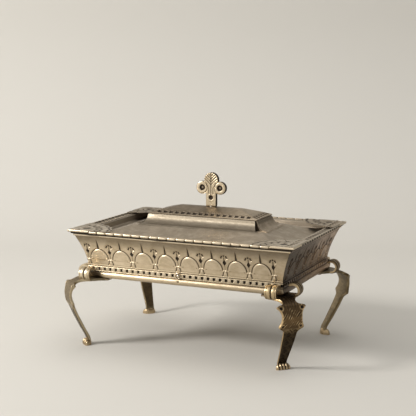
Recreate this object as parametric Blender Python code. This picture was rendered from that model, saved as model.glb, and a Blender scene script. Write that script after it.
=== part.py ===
"""Keepsake box in cast and sheet brass.

A flared body on four scrolled legs carries a hinged, dished lid with a plinth, a hipped roof and a
palmette finial. The origin is on the table under the middle of the box, X runs along the front,
-Y is the front and +Z is up. Metres throughout.
"""

import math

import bmesh
import bpy
from mathutils import Vector

MM = 0.001

# Fits between pieces
SEAT = 0.3 * MM  # left where a piece rests on, or is soldered to, its neighbour
MITRE = 0.25 * MM  # taken off each end of a mitred moulding
RUNNING = 0.25 * MM  # round the hinge pins
OVERRUN = 2.0 * MM  # how far a cutter passes the face it cuts

# Body, measured at its base
BASE_LENGTH = 175.8 * MM
BASE_DEPTH = 118.8 * MM
WALL_HEIGHT = 27.6 * MM
WALL_THICKNESS = 1.8 * MM
WALL_FLARE = 8.7 * MM  # how far the top edge leans out past the band
WALL_LEDGE = 0.6 * MM  # how far the foot of the wall sits behind the band
FLARE_POWER = 1.5
EDGE_ROLL = 0.9 * MM  # radius of the rolled top edge
BAND_HEIGHT = 4.3 * MM
BAND_THICKNESS = 2.5 * MM
BAR_RADIUS = 2.7 * MM
BAR_PROUD = 0.8 * MM  # how far the round bar stands out past the band
FLOOR_THICKNESS = 2.2 * MM
BOSS_RADIUS = 2.6 * MM
BOSS_THICKNESS = 1.3 * MM
BOSS_SHIFT = -3.0 * MM  # the ornament on the front is set this far off the middle

# Legs
LEG_HEIGHT = 58.6 * MM  # to the top of the plate under the floor
LEG_REACH = 16.9 * MM  # how far the knee stands out from the foot, along the diagonal
LEG_WIDTH = 24.4 * MM  # across the ears
LEG_STRAP = 2.3 * MM
LEG_ROOT = 14.0 * MM  # how far the strap runs in under the floor
PLATE_SPAN = 19.0 * MM
PLATE_THICKNESS = 1.8 * MM
PLATE_MARGIN = 1.0 * MM
SCROLL_RADIUS = 5.9 * MM  # outside of the rolled arm
SCROLL_STRAP = 2.0 * MM
SCROLL_WIDTH = 9.7 * MM
SCROLL_ROOT = 10.0 * MM  # how far each arm runs in under the floor
SCROLL_CLEARANCE = 0.5 * MM  # from the rolled arm to the band behind it
SCROLL_END_DEG = 135.0
PAW_LENGTH = 6.8 * MM
PAW_WIDTH = 12.8 * MM
PAW_HEIGHT = 5.6 * MM
PAW_TOE = 4.4 * MM  # the toes reach this far past the foot's middle
REAR_LEAN = -3.5 * MM  # the right rear foot stands this far in towards the middle
SCREW_SET_IN = 14.5 * MM  # from the corner of the base, along the diagonal
SCREW_RADIUS = 1.8 * MM
SCREW_HEAD_RADIUS = 3.2 * MM
SCREW_HEAD_HEIGHT = 1.5 * MM

# Lid
LID_END_OVERHANG = 3.4 * MM  # past the top edge of the walls
LID_SIDE_OVERHANG = 3.3 * MM
LID_LENGTH = BASE_LENGTH + 2 * (WALL_FLARE + LID_END_OVERHANG)
LID_DEPTH = BASE_DEPTH + 2 * (WALL_FLARE + LID_SIDE_OVERHANG)
RIM_THICKNESS = 2.0 * MM
RIM_WIDTH = 8.0 * MM  # from the outer edge to the dish
EDGING_DEPTH = 1.7 * MM
EDGING_HEIGHT = 2.0 * MM
EDGING_DROP = 0.8 * MM  # the edging starts this far above the rim's underside
SHEET = 1.2 * MM
DISH_DEPTH = 5.7 * MM  # from the rim's top to the gutter
DISH_LEAN = 0.6 * MM
GUTTER_WIDTH = 3.6 * MM
PANEL_RISE = 8.3 * MM
PANEL_POWER = 1.15
CORNER_SPAN = 38.0 * MM
CORNER_THICKNESS = 1.0 * MM
CORNER_LIP_LENGTH = 19.4 * MM
CORNER_LIP_HEIGHT = 2.2 * MM
PLINTH_LENGTH = 98.4 * MM
PLINTH_DEPTH = 35.6 * MM
PLINTH_HEIGHT = 7.7 * MM
PLINTH_FLARE = 9.5 * MM
PLINTH_POWER = 3.0
PLINTH_EDGE = 0.4 * MM  # thickness left at the strips' feet
PLINTH_STRIP = 1.5 * MM
PLINTH_LONG_NOTCH = 1.8 * MM  # the long strips stop this far short of the corner at their top
PLINTH_SHORT_NOTCH = 0.5 * MM  # and the short ones this far
PLINTH_SPLAY = 4.2 * MM  # every strip is longer by this at each end of its foot
LIP_PROUD = 0.5 * MM
LIP_THICKNESS = 1.0 * MM
ROOF_WALL = 3.0 * MM
ROOF_SHEET = 1.5 * MM
ROOF_RISE = 5.6 * MM
RIDGE_LENGTH = 56.0 * MM
RIDGE_WIDTH = 5.6 * MM

# Finial
FINIAL_HEIGHT = 29.2 * MM
FINIAL_WIDTH = 27.2 * MM
FINIAL_THICKNESS = 4.4 * MM
FINIAL_NECK = 9.2 * MM
FINIAL_SHIFT = 0.8 * MM  # the finial stands this far off the middle
VOLUTE_RADIUS = 5.6 * MM
LOBE_RADIUS = 6.0 * MM
STEM_RADIUS = 2.0 * MM
STEM_TAIL = 3.9 * MM  # below the washer
WASHER_RADIUS = 5.0 * MM
WASHER_THICKNESS = 0.8 * MM
NUT_RADIUS = 4.0 * MM
NUT_HEIGHT = 2.4 * MM

# Hinges, under the overhang of the lid at the back
HINGE_SPACING = 90.0 * MM
HINGE_WIDTH = 22.0 * MM
HINGE_LEAF = 1.0 * MM
HINGE_LEAF_HEIGHT = 10.0 * MM
KNUCKLE_RADIUS = 1.7 * MM
PIN_RADIUS = 0.7 * MM
PIN_HEAD_RADIUS = 1.2 * MM
PIN_HEAD_THICKNESS = 0.6 * MM
HINGE_NOTCH = 2.0 * MM  # cut into the top of the back wall
HINGE_SET_OUT = 1.5 * MM  # the pin stands this far behind the wall's top edge
LEAF_INSET = 1.3 * MM  # the lid's leaf reaches this far inside the back wall
RIVET_RADIUS = 0.8 * MM
RIVET_HEAD_RADIUS = 1.5 * MM
RIVET_HEAD_HEIGHT = 0.7 * MM
RIVET_SPACING = 13.0 * MM
RIVET_BLIND = 0.6 * MM  # left above the rivet in the rim

# Fineness of the curved forms
FLARE_STEPS = 8
ROLL_STEPS = 5
BAR_SIDES = 12
SCROLL_STEPS = 16
ROUND_SIDES = 20
SMALL_SIDES = 12
NUT_SIDES = 6
LOBE_SIDES = 28
SMOOTH_ANGLE = math.radians(32)

# Levels, from the table up
FLOOR_UNDERSIDE = LEG_HEIGHT + SEAT
FLOOR_TOP = FLOOR_UNDERSIDE + FLOOR_THICKNESS
BAR_LEVEL = FLOOR_UNDERSIDE + BAR_RADIUS
BAND_BOTTOM = BAR_LEVEL + BAR_RADIUS + SEAT
BAND_TOP = BAND_BOTTOM + BAND_HEIGHT
WALL_BOTTOM = BAND_TOP + SEAT
WALL_TOP = WALL_BOTTOM + WALL_HEIGHT
RIM_UNDERSIDE = WALL_TOP + SEAT
RIM_TOP = RIM_UNDERSIDE + RIM_THICKNESS
GUTTER_LEVEL = RIM_TOP - DISH_DEPTH
PANEL_TOP = GUTTER_LEVEL + PANEL_RISE
PLINTH_FOOT = PANEL_TOP + SEAT
PLINTH_TOP = PLINTH_FOOT + PLINTH_HEIGHT
ROOF_UNDERSIDE = PLINTH_TOP + SEAT
RIDGE_LEVEL = ROOF_UNDERSIDE + LIP_THICKNESS + ROOF_RISE
FINIAL_FOOT = RIDGE_LEVEL + SEAT
HINGE_LEVEL = WALL_TOP - KNUCKLE_RADIUS
HINGE_BACK = BASE_DEPTH / 2 + WALL_FLARE + HINGE_SET_OUT

# Finishes: linear colour, roughness
GOLD = ((0.46, 0.33, 0.16), 0.34)
AGED = ((0.33, 0.25, 0.15), 0.42)
DARK = ((0.20, 0.15, 0.10), 0.5)
STEEL = ((0.36, 0.33, 0.29), 0.4)


def empty_scene():
    for item in list(bpy.data.objects):
        bpy.data.objects.remove(item, do_unlink=True)


def guide(name, place):
    """An empty that carries the pieces which move together."""
    item = bpy.data.objects.new(name, None)
    item.location = place
    bpy.context.scene.collection.objects.link(item)
    return item


def finish_material(name, finish):
    colour, roughness = finish
    material = bpy.data.materials.new(name)
    material.use_nodes = True
    shader = material.node_tree.nodes["Principled BSDF"]
    shader.inputs["Base Color"].default_value = (*colour, 1.0)
    shader.inputs["Roughness"].default_value = roughness
    shader.inputs["Metallic"].default_value = 1.0
    return material


def piece(name, shape, finish, carrier, origin=None):
    """Turns a closed bmesh, in world places, into a named object carried by an empty."""
    origin = Vector(carrier.location if origin is None else origin)
    bmesh.ops.recalc_face_normals(shape, faces=shape.faces)
    bmesh.ops.translate(shape, verts=shape.verts, vec=-origin)
    mesh = bpy.data.meshes.new(name)
    shape.to_mesh(mesh)
    shape.free()
    mesh.shade_smooth()
    mesh.set_sharp_from_angle(angle=SMOOTH_ANGLE)
    item = bpy.data.objects.new(name, mesh)
    mesh.materials.append(finish_material(name, finish))
    item.parent = carrier
    item.location = origin - Vector(carrier.location)
    bpy.context.scene.collection.objects.link(item)
    return item


def shape_with(item, tool_shape, operation, label):
    """Adds a Boolean modifier with a hidden tool."""
    tool = piece(f"{item.name}_{label}", tool_shape, DARK, item.parent)
    tool.hide_render = True
    tool.display_type = "WIRE"
    modifier = item.modifiers.new(label, "BOOLEAN")
    modifier.operation = operation
    modifier.object = tool
    return tool


def prism(outline, low, high, place):
    """Closed solid between two copies of a flat outline. place(a, b, c) gives the world point."""
    shape = bmesh.new()
    rows = []
    for level in (low, high):
        rows.append([shape.verts.new(place(a, b, level)) for a, b in outline])
    count = len(outline)
    for i in range(count):
        j = (i + 1) % count
        shape.faces.new((rows[0][i], rows[0][j], rows[1][j], rows[1][i]))
    shape.faces.new(rows[0][::-1])
    shape.faces.new(rows[1])
    return shape


def loft(rings):
    """Closed solid through rings of points that all have the same count."""
    shape = bmesh.new()
    rows = [[shape.verts.new(point) for point in ring] for ring in rings]
    count = len(rings[0])
    for lower, upper in zip(rows, rows[1:]):
        for i in range(count):
            j = (i + 1) % count
            shape.faces.new((lower[i], lower[j], upper[j], upper[i]))
    shape.faces.new(rows[0][::-1])
    shape.faces.new(rows[-1])
    return shape


def turned(profile, centre, axis, sides):
    """Solid turned about an axis. The profile is a list of (radius, distance along the axis)."""
    axis = Vector(axis).normalized()
    across = axis.orthogonal().normalized()
    beside = axis.cross(across)
    rings = []
    for radius, along in profile:
        ring = []
        for i in range(sides):
            angle = 2 * math.pi * (i + 0.5) / sides
            spoke = across * math.cos(angle) + beside * math.sin(angle)
            ring.append(Vector(centre) + axis * along + spoke * radius)
        rings.append(ring)
    return loft(rings)


def box_shape(low, high):
    """Block between two corners."""
    outline = [(low[0], low[1]), (high[0], low[1]), (high[0], high[1]), (low[0], high[1])]
    return prism(outline, low[2], high[2], lambda a, b, c: (a, b, c))


def hole_through(item, centre, axis, radius, reach, label):
    """Cuts a round hole of that radius, reaching the same distance to both sides of its centre."""
    profile = [(radius, -reach), (radius, reach)]
    return shape_with(item, turned(profile, centre, axis, SMALL_SIDES), "DIFFERENCE", label)


def side_place(side, along, outward, height):
    """World place on one side of the box, outward measured from the base outline."""
    if side == "front":
        return (along, -BASE_DEPTH / 2 - outward, height)
    if side == "back":
        return (-along, BASE_DEPTH / 2 + outward, height)
    if side == "left":
        return (-BASE_LENGTH / 2 - outward, -along, height)
    return (BASE_LENGTH / 2 + outward, along, height)


def side_half(side):
    """Half the length of the base outline on that side."""
    return (BASE_LENGTH if side in ("front", "back") else BASE_DEPTH) / 2


def moulding(side, profile):
    """Moulding along one side with mitred ends. The profile is a list of (outward, height)."""
    rings = []
    for end in (-1, 1):
        ring = []
        for outward, height in profile:
            along = end * (side_half(side) + outward - MITRE)
            ring.append(side_place(side, along, outward, height))
        rings.append(ring)
    return loft(rings)


def wall_outward(height):
    """How far the wall's outer face stands out at a height: a hollow flare."""
    share = (height - WALL_BOTTOM) / WALL_HEIGHT
    return -WALL_LEDGE + (WALL_FLARE + WALL_LEDGE) * share**FLARE_POWER


def wall_profile():
    """Outer face up, round the rolled edge, and the inner face down."""
    roll_level = WALL_TOP - EDGE_ROLL
    outer = []
    for i in range(FLARE_STEPS + 1):
        height = WALL_BOTTOM + (roll_level - EDGE_ROLL - WALL_BOTTOM) * i / FLARE_STEPS
        outer.append((wall_outward(height), height))
    roll = []
    for i in range(ROLL_STEPS + 1):
        angle = math.radians(-45 + 135 * i / ROLL_STEPS)
        out = WALL_FLARE - EDGE_ROLL + EDGE_ROLL * math.cos(angle)
        roll.append((out, roll_level + EDGE_ROLL * math.sin(angle)))
    inner = [(WALL_FLARE - WALL_THICKNESS, WALL_TOP)]
    inner += [(out - WALL_THICKNESS, height) for out, height in outer[::-1]]
    return outer + roll + inner


def round_profile(centre_out, centre_height, radius, sides):
    profile = []
    for i in range(sides):
        angle = 2 * math.pi * (i + 0.5) / sides
        out = centre_out + radius * math.cos(angle)
        profile.append((out, centre_height + radius * math.sin(angle)))
    return profile


def build_body(body):
    """Four flared walls, the beaded band and round bar under them, the floor and the front boss."""
    band = [
        (-BAND_THICKNESS, BAND_BOTTOM),
        (0, BAND_BOTTOM),
        (0, BAND_TOP),
        (-BAND_THICKNESS, BAND_TOP),
    ]
    bar = round_profile(BAR_PROUD - BAR_RADIUS, BAR_LEVEL, BAR_RADIUS, BAR_SIDES)
    walls = {}
    for side in ("front", "back", "left", "right"):
        finish = GOLD if side in ("front", "left") else AGED
        walls[side] = piece(f"wall_{side}", moulding(side, wall_profile()), finish, body)
        piece(f"bead_band_{side}", moulding(side, band), finish, body)
        piece(f"base_bar_{side}", moulding(side, bar), finish, body)

    edge = BAR_PROUD - 2 * BAR_RADIUS - SEAT
    half_x = BASE_LENGTH / 2 + edge
    half_y = BASE_DEPTH / 2 + edge
    floor_shape = box_shape((-half_x, -half_y, FLOOR_UNDERSIDE), (half_x, half_y, FLOOR_TOP))
    floor = piece("bottom_plate", floor_shape, DARK, body)
    for name, sx, sy in LEGS:
        centre = leg_place(sx, sy, -SCREW_SET_IN, 0, FLOOR_TOP)
        reach = FLOOR_THICKNESS + SEAT
        hole_through(floor, centre, (0, 0, 1), SCREW_RADIUS + SEAT, reach, f"{name}_hole")

    boss_place = side_place("front", BOSS_SHIFT, SEAT, BAND_BOTTOM + BAND_HEIGHT / 2)
    rounded = BOSS_THICKNESS / 2
    boss_profile = [
        (BOSS_RADIUS, 0),
        (BOSS_RADIUS, rounded),
        (BOSS_RADIUS - rounded / 2, BOSS_THICKNESS),
    ]
    boss = turned(boss_profile, boss_place, (0, -1, 0), ROUND_SIDES)
    piece("front_boss", boss, GOLD, body, boss_place)
    return walls


LEGS = (
    ("front_left", -1, -1),
    ("front_right", 1, -1),
    ("back_left", -1, 1),
    ("back_right", 1, 1),
)

# How far in from the corner each rolled arm starts: (arm on the front or back, arm on the end).
# The hand-fitted legs differ a little.
SCROLL_STARTS = {
    "front_left": (-2.3 * MM, 4.3 * MM),
    "front_right": (2.3 * MM, 7.5 * MM),
    "back_left": (1.5 * MM, 5.0 * MM),
    "back_right": (1.5 * MM, 0.5 * MM),
}

# Strap of the leg from its root under the floor to the ankle, as shares of
# the reach, the height and the width across the ears
STRAP_SHARES = (
    (-0.237, 0.0, 0.861),
    (0.0947, -0.001, 0.811),
    (0.284, -0.004, 0.68),
    (0.45, -0.013, 0.557),
    (0.604, -0.026, 0.504),
    (0.71, -0.040, 0.541),
    (0.781, -0.052, 0.697),
    (0.828, -0.062, 0.984),
    (0.864, -0.078, 1.0),
    (0.899, -0.096, 0.885),
    (0.947, -0.127, 0.779),
    (0.982, -0.165, 0.717),
    (1.0, -0.202, 0.705),
    (0.988, -0.243, 0.721),
    (0.959, -0.284, 0.77),
    (0.917, -0.323, 0.861),
    (0.888, -0.346, 0.844),
    (0.852, -0.369, 0.672),
    (0.811, -0.400, 0.508),
    (0.746, -0.445, 0.463),
    (0.604, -0.537, 0.439),
    (0.45, -0.625, 0.406),
    (0.29, -0.718, 0.365),
    (0.13, -0.803, 0.332),
    (0.0118, -0.868, 0.316),
    (-0.0178, -0.916, 0.328),
)

# Paw from the heel to the toes, as shares of its length, width and height: (along, width, top)
PAW_SHARES = ((0.0, 0.55, 0.7), (0.2, 0.78, 1.0), (0.55, 1.0, 0.95), (0.85, 1.0, 0.75), (1.0, 0.85, 0.5))
PAW_CHAMFER_SHARE = 0.3

# Inner edge of a corner plate on the lid, as shares of its span, from the long side to the short
CORNER_SHARES = (
    (1.0, 0.14),
    (0.93, 0.22),
    (0.95, 0.38),
    (0.82, 0.46),
    (0.80, 0.60),
    (0.66, 0.66),
    (0.60, 0.80),
    (0.46, 0.82),
    (0.38, 0.95),
    (0.22, 0.93),
    (0.14, 1.0),
)


def leg_place(sx, sy, along, across, height):
    """World place for a leg: along its diagonal from the corner of the base, and across it."""
    out_x = (along - across) * math.sqrt(0.5)
    out_y = (along + across) * math.sqrt(0.5)
    return (sx * (BASE_LENGTH / 2 + out_x), sy * (BASE_DEPTH / 2 + out_y), height)


def leg_lean(sx, sy, height):
    """How far a leg is bent outwards at this height: only the right rear one leans, more and more to the foot."""
    return REAR_LEAN * (1 - height / LEG_HEIGHT) if sx > 0 and sy > 0 else 0


def leg_strap(sx, sy):
    """Flat strap bent in an S from the root under the floor to the ankle."""
    level = LEG_HEIGHT - LEG_STRAP / 2
    path = [(-LEG_ROOT, level, LEG_WIDTH * STRAP_SHARES[0][2])]
    for reach, drop, width in STRAP_SHARES:
        height = level + drop * LEG_HEIGHT
        path.append((reach * LEG_REACH + leg_lean(sx, sy, height), height, width * LEG_WIDTH))
    rings = []
    for i, (along, height, width) in enumerate(path):
        before = path[max(i - 1, 0)]
        after = path[min(i + 1, len(path) - 1)]
        run, climb = after[0] - before[0], after[1] - before[1]
        length = math.hypot(run, climb)
        normal = (-climb / length, run / length)
        ring = []
        for across, depth in ((-1, -1), (1, -1), (1, 1), (-1, 1)):
            ring.append(
                leg_place(
                    sx,
                    sy,
                    along + normal[0] * depth * LEG_STRAP / 2,
                    across * width / 2,
                    height + normal[1] * depth * LEG_STRAP / 2,
                )
            )
        rings.append(ring)
    return loft(rings)


def leg_paw(sx, sy):
    """Paw with a flat sole, chamfered along its upper edges."""
    heel = PAW_TOE - PAW_LENGTH + leg_lean(sx, sy, 0)
    rings = []
    for share, width_share, top_share in PAW_SHARES:
        half = PAW_WIDTH * width_share / 2
        top = PAW_HEIGHT * top_share
        chamfer = top * PAW_CHAMFER_SHARE
        section = (
            (-half + chamfer, 0),
            (half - chamfer, 0),
            (half, chamfer),
            (half, top - chamfer),
            (half - chamfer, top),
            (-half + chamfer, top),
            (-half, top - chamfer),
            (-half, chamfer),
        )
        along = heel + PAW_LENGTH * share
        rings.append([leg_place(sx, sy, along, across, height) for across, height in section])
    return loft(rings)


def scroll_outline():
    """Side view of a rolled arm: a strap out past the wall, rolled up and back towards the band."""
    middle = SCROLL_RADIUS - SCROLL_STRAP / 2
    level = LEG_HEIGHT - LEG_STRAP / 2
    centre_out = SCROLL_RADIUS - SCROLL_CLEARANCE
    last = math.radians(SCROLL_END_DEG)
    outer = [(-SCROLL_ROOT, level - SCROLL_STRAP / 2)]
    inner = [(-SCROLL_ROOT, level + SCROLL_STRAP / 2)]
    for i in range(SCROLL_STEPS + 1):
        angle = -math.pi / 2 + (last + math.pi / 2) * i / SCROLL_STEPS
        for row, radius in ((outer, SCROLL_RADIUS), (inner, SCROLL_RADIUS - SCROLL_STRAP)):
            out = centre_out + radius * math.cos(angle)
            row.append((out, level + middle + radius * math.sin(angle)))
    return outer + inner[::-1]


def build_legs(body):
    """Each leg is one casting: strap, plate under the floor, two rolled arms and the paw."""
    level = LEG_HEIGHT - LEG_STRAP / 2
    for name, sx, sy in LEGS:
        leg = piece(f"leg_{name}", leg_strap(sx, sy), GOLD if sx < 0 else AGED, body)

        def corner_place(out_x, out_y, height, sx=sx, sy=sy):
            return (sx * (BASE_LENGTH / 2 + out_x), sy * (BASE_DEPTH / 2 + out_y), height)

        far, near = -PLATE_SPAN, -PLATE_MARGIN
        chamfer = far + PLATE_SPAN / 3
        plate_outline = [(near, near), (near, far), (chamfer, far), (far, chamfer), (far, near)]
        plate = prism(
            plate_outline,
            level - PLATE_THICKNESS / 2,
            level + PLATE_THICKNESS / 2,
            corner_place,
        )
        shape_with(leg, plate, "UNION", "plate")

        start_x, start_y = SCROLL_STARTS[name]
        arm_on_front = prism(
            scroll_outline(),
            -start_x - SCROLL_WIDTH,
            -start_x,
            lambda out, height, c, place=corner_place: place(c, out, height),
        )
        shape_with(leg, arm_on_front, "UNION", "arm_along")
        arm_on_end = prism(
            scroll_outline(),
            -start_y - SCROLL_WIDTH,
            -start_y,
            lambda out, height, c, place=corner_place: place(out, c, height),
        )
        shape_with(leg, arm_on_end, "UNION", "arm_across")
        shape_with(leg, leg_paw(sx, sy), "UNION", "paw")

        centre = leg_place(sx, sy, -SCREW_SET_IN, 0, level)
        hole_through(leg, centre, (0, 0, 1), SCREW_RADIUS + SEAT, LEG_STRAP, "hole")
        underside = level - LEG_STRAP / 2 - SEAT
        screw_foot = leg_place(sx, sy, -SCREW_SET_IN, 0, underside)
        screw_profile = [
            (SCREW_HEAD_RADIUS * math.sqrt(0.5), -SCREW_HEAD_HEIGHT),
            (SCREW_HEAD_RADIUS, -SCREW_HEAD_HEIGHT / 2),
            (SCREW_HEAD_RADIUS, 0),
            (SCREW_RADIUS, 0),
            (SCREW_RADIUS, FLOOR_TOP - underside),
        ]
        screw = turned(screw_profile, screw_foot, (0, 0, 1), SMALL_SIDES)
        piece(f"leg_screw_{name}", screw, STEEL, body, screw_foot)


def rectangle(half_x, half_y, height):
    return [
        (-half_x, -half_y, height),
        (half_x, -half_y, height),
        (half_x, half_y, height),
        (-half_x, half_y, height),
    ]


def dish_rings():
    """Dished sheet as rings: its upper face from the middle outwards, then its underside back in."""
    edge_x = LID_LENGTH / 2 - RIM_WIDTH - SEAT
    edge_y = LID_DEPTH / 2 - RIM_WIDTH - SEAT
    foot_x = PLINTH_LENGTH / 2 + PLINTH_FLARE
    foot_y = PLINTH_DEPTH / 2 + PLINTH_FLARE
    inset = DISH_LEAN + SHEET
    slope = []
    for i in range(FLARE_STEPS + 1):
        share = i / FLARE_STEPS
        half_x = edge_x - inset - GUTTER_WIDTH
        half_y = edge_y - inset - GUTTER_WIDTH
        half_x += (foot_x - half_x) * share
        half_y += (foot_y - half_y) * share
        slope.append((half_x, half_y, GUTTER_LEVEL + PANEL_RISE * share**PANEL_POWER))
    edge = [
        (edge_x - inset, edge_y - inset, GUTTER_LEVEL),
        (edge_x - SHEET, edge_y - SHEET, RIM_TOP - SEAT),
        (edge_x, edge_y, RIM_TOP - SEAT),
        (edge_x - DISH_LEAN, edge_y - DISH_LEAN, GUTTER_LEVEL - SHEET),
    ]
    under = [(half_x, half_y, level - SHEET) for half_x, half_y, level in slope]
    return [rectangle(*ring) for ring in slope[::-1] + edge + under]


def build_lid_base(lid):
    """Rim, edging strips, dished panel and corner plates."""
    half_x = LID_LENGTH / 2 - EDGING_DEPTH - SEAT
    half_y = LID_DEPTH / 2 - EDGING_DEPTH - SEAT
    rim_shape = box_shape((-half_x, -half_y, RIM_UNDERSIDE), (half_x, half_y, RIM_TOP))
    rim = piece("lid_rim", rim_shape, AGED, lid)
    inner_x = LID_LENGTH / 2 - RIM_WIDTH
    inner_y = LID_DEPTH / 2 - RIM_WIDTH
    low = (-inner_x, -inner_y, RIM_UNDERSIDE - OVERRUN)
    high = (inner_x, inner_y, RIM_TOP + OVERRUN)
    shape_with(rim, box_shape(low, high), "DIFFERENCE", "opening")

    panel = piece("lid_panel", loft(dish_rings()), AGED, lid)
    centre = (FINIAL_SHIFT, 0, PANEL_TOP)
    hole_through(panel, centre, (0, 0, 1), STEM_RADIUS + SEAT, SHEET * 2, "stem_hole")

    bottom = RIM_UNDERSIDE + EDGING_DROP
    crown = EDGING_DEPTH / 3
    for side in ("front", "back", "left", "right"):
        across = (LID_DEPTH - BASE_DEPTH) / 2 if side in ("front", "back") else (LID_LENGTH - BASE_LENGTH) / 2
        length = LID_LENGTH if side in ("front", "back") else LID_DEPTH
        half = length / 2 - CORNER_LIP_LENGTH - SEAT
        profile = [
            (across - EDGING_DEPTH, bottom),
            (across - crown, bottom),
            (across, bottom + crown),
            (across, bottom + EDGING_HEIGHT - crown),
            (across - crown, bottom + EDGING_HEIGHT),
            (across - EDGING_DEPTH, bottom + EDGING_HEIGHT),
        ]
        rings = [[side_place(side, end * half, out, level) for out, level in profile] for end in (-1, 1)]
        piece(f"lid_edging_{side}", loft(rings), GOLD if side == "front" else AGED, lid)

    for name, sx, sy in LEGS:
        build_corner_plate(name, sx, sy, lid)
    return rim


def build_corner_plate(name, sx, sy, lid):
    """Spandrel plate over a corner of the lid, with a lip down each outer edge."""

    def place(in_x, in_y, height):
        return (sx * (LID_LENGTH / 2 - in_x), sy * (LID_DEPTH / 2 - in_y), height)

    outer = SEAT
    inner = EDGING_DEPTH + SEAT
    outline = [(outer, outer), (CORNER_LIP_LENGTH, outer), (CORNER_LIP_LENGTH, inner)]
    outline.append((CORNER_SPAN, inner))
    outline += [(x * CORNER_SPAN, y * CORNER_SPAN) for x, y in CORNER_SHARES]
    outline += [(inner, CORNER_SPAN), (inner, CORNER_LIP_LENGTH), (outer, CORNER_LIP_LENGTH)]
    bottom = RIM_TOP + SEAT
    plate = prism(outline, bottom, bottom + CORNER_THICKNESS, place)
    finish = GOLD if sx < 0 else AGED
    item = piece(f"corner_plate_{name}", plate, finish, lid)
    low = RIM_UNDERSIDE + EDGING_DROP
    lip = [
        (0, 0),
        (CORNER_LIP_LENGTH, 0),
        (CORNER_LIP_LENGTH, EDGING_DEPTH),
        (EDGING_DEPTH, EDGING_DEPTH),
        (EDGING_DEPTH, CORNER_LIP_LENGTH),
        (0, CORNER_LIP_LENGTH),
    ]
    shape_with(item, prism(lip, low, low + CORNER_LIP_HEIGHT, place), "UNION", "lip")


def build_plinth(lid):
    """Four hollow-moulded strips standing on the panel, their ends splayed and the corners left open."""
    for side in ("front", "back", "left", "right"):
        long_side = side in ("front", "back")
        half_across = (PLINTH_DEPTH if long_side else PLINTH_LENGTH) / 2
        half_along = PLINTH_LENGTH / 2 - PLINTH_LONG_NOTCH if long_side else PLINTH_DEPTH / 2 - PLINTH_SHORT_NOTCH
        base_half = (BASE_DEPTH if long_side else BASE_LENGTH) / 2
        profile = [(PLINTH_FLARE, PLINTH_FOOT)]
        for i in range(FLARE_STEPS + 1):
            share = i / FLARE_STEPS
            climb = (PLINTH_HEIGHT - PLINTH_EDGE) * share**PLINTH_POWER
            profile.append((PLINTH_FLARE * (1 - share), PLINTH_FOOT + PLINTH_EDGE + climb))
        profile += [(-PLINTH_STRIP, PLINTH_TOP), (-PLINTH_STRIP, PLINTH_FOOT)]
        rings = []
        for end in (-1, 1):
            ring = []
            for out, level in profile:
                along = end * (half_along + PLINTH_SPLAY * out / PLINTH_FLARE)
                ring.append(side_place(side, along, half_across - base_half + out, level))
            rings.append(ring)
        piece(f"plinth_strip_{side}", loft(rings), GOLD if side == "front" else AGED, lid)


def build_roof(lid):
    """Roof plate: a thin lip and a hipped roof up to a narrow ridge, hollow below."""
    half_x = PLINTH_LENGTH / 2
    half_y = PLINTH_DEPTH / 2
    outside = [
        (half_x + LIP_PROUD, half_y + LIP_PROUD, ROOF_UNDERSIDE),
        (half_x + LIP_PROUD, half_y + LIP_PROUD, ROOF_UNDERSIDE + LIP_THICKNESS),
        (RIDGE_LENGTH / 2, RIDGE_WIDTH / 2, RIDGE_LEVEL),
    ]
    inside = [
        (RIDGE_LENGTH / 2, RIDGE_WIDTH / 2, RIDGE_LEVEL - ROOF_SHEET),
        (half_x - ROOF_WALL, half_y - ROOF_WALL, ROOF_UNDERSIDE),
    ]
    shape = bmesh.new()
    outer_rows = [[shape.verts.new(point) for point in rectangle(*ring)] for ring in outside]
    inner_rows = [[shape.verts.new(point) for point in rectangle(*ring)] for ring in inside]
    pairs = list(zip(outer_rows, outer_rows[1:])) + list(zip(inner_rows, inner_rows[1:]))
    pairs.append((inner_rows[-1], outer_rows[0]))
    for lower, upper in pairs:
        for i in range(4):
            j = (i + 1) % 4
            shape.faces.new((lower[i], lower[j], upper[j], upper[i]))
    shape.faces.new(outer_rows[-1])
    shape.faces.new(inner_rows[0][::-1])
    roof = piece("roof_plate", shape, AGED, lid)
    centre = (FINIAL_SHIFT, 0, RIDGE_LEVEL)
    hole_through(roof, centre, (0, 0, 1), STEM_RADIUS + SEAT, ROOF_SHEET * 2, "stem_hole")


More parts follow.
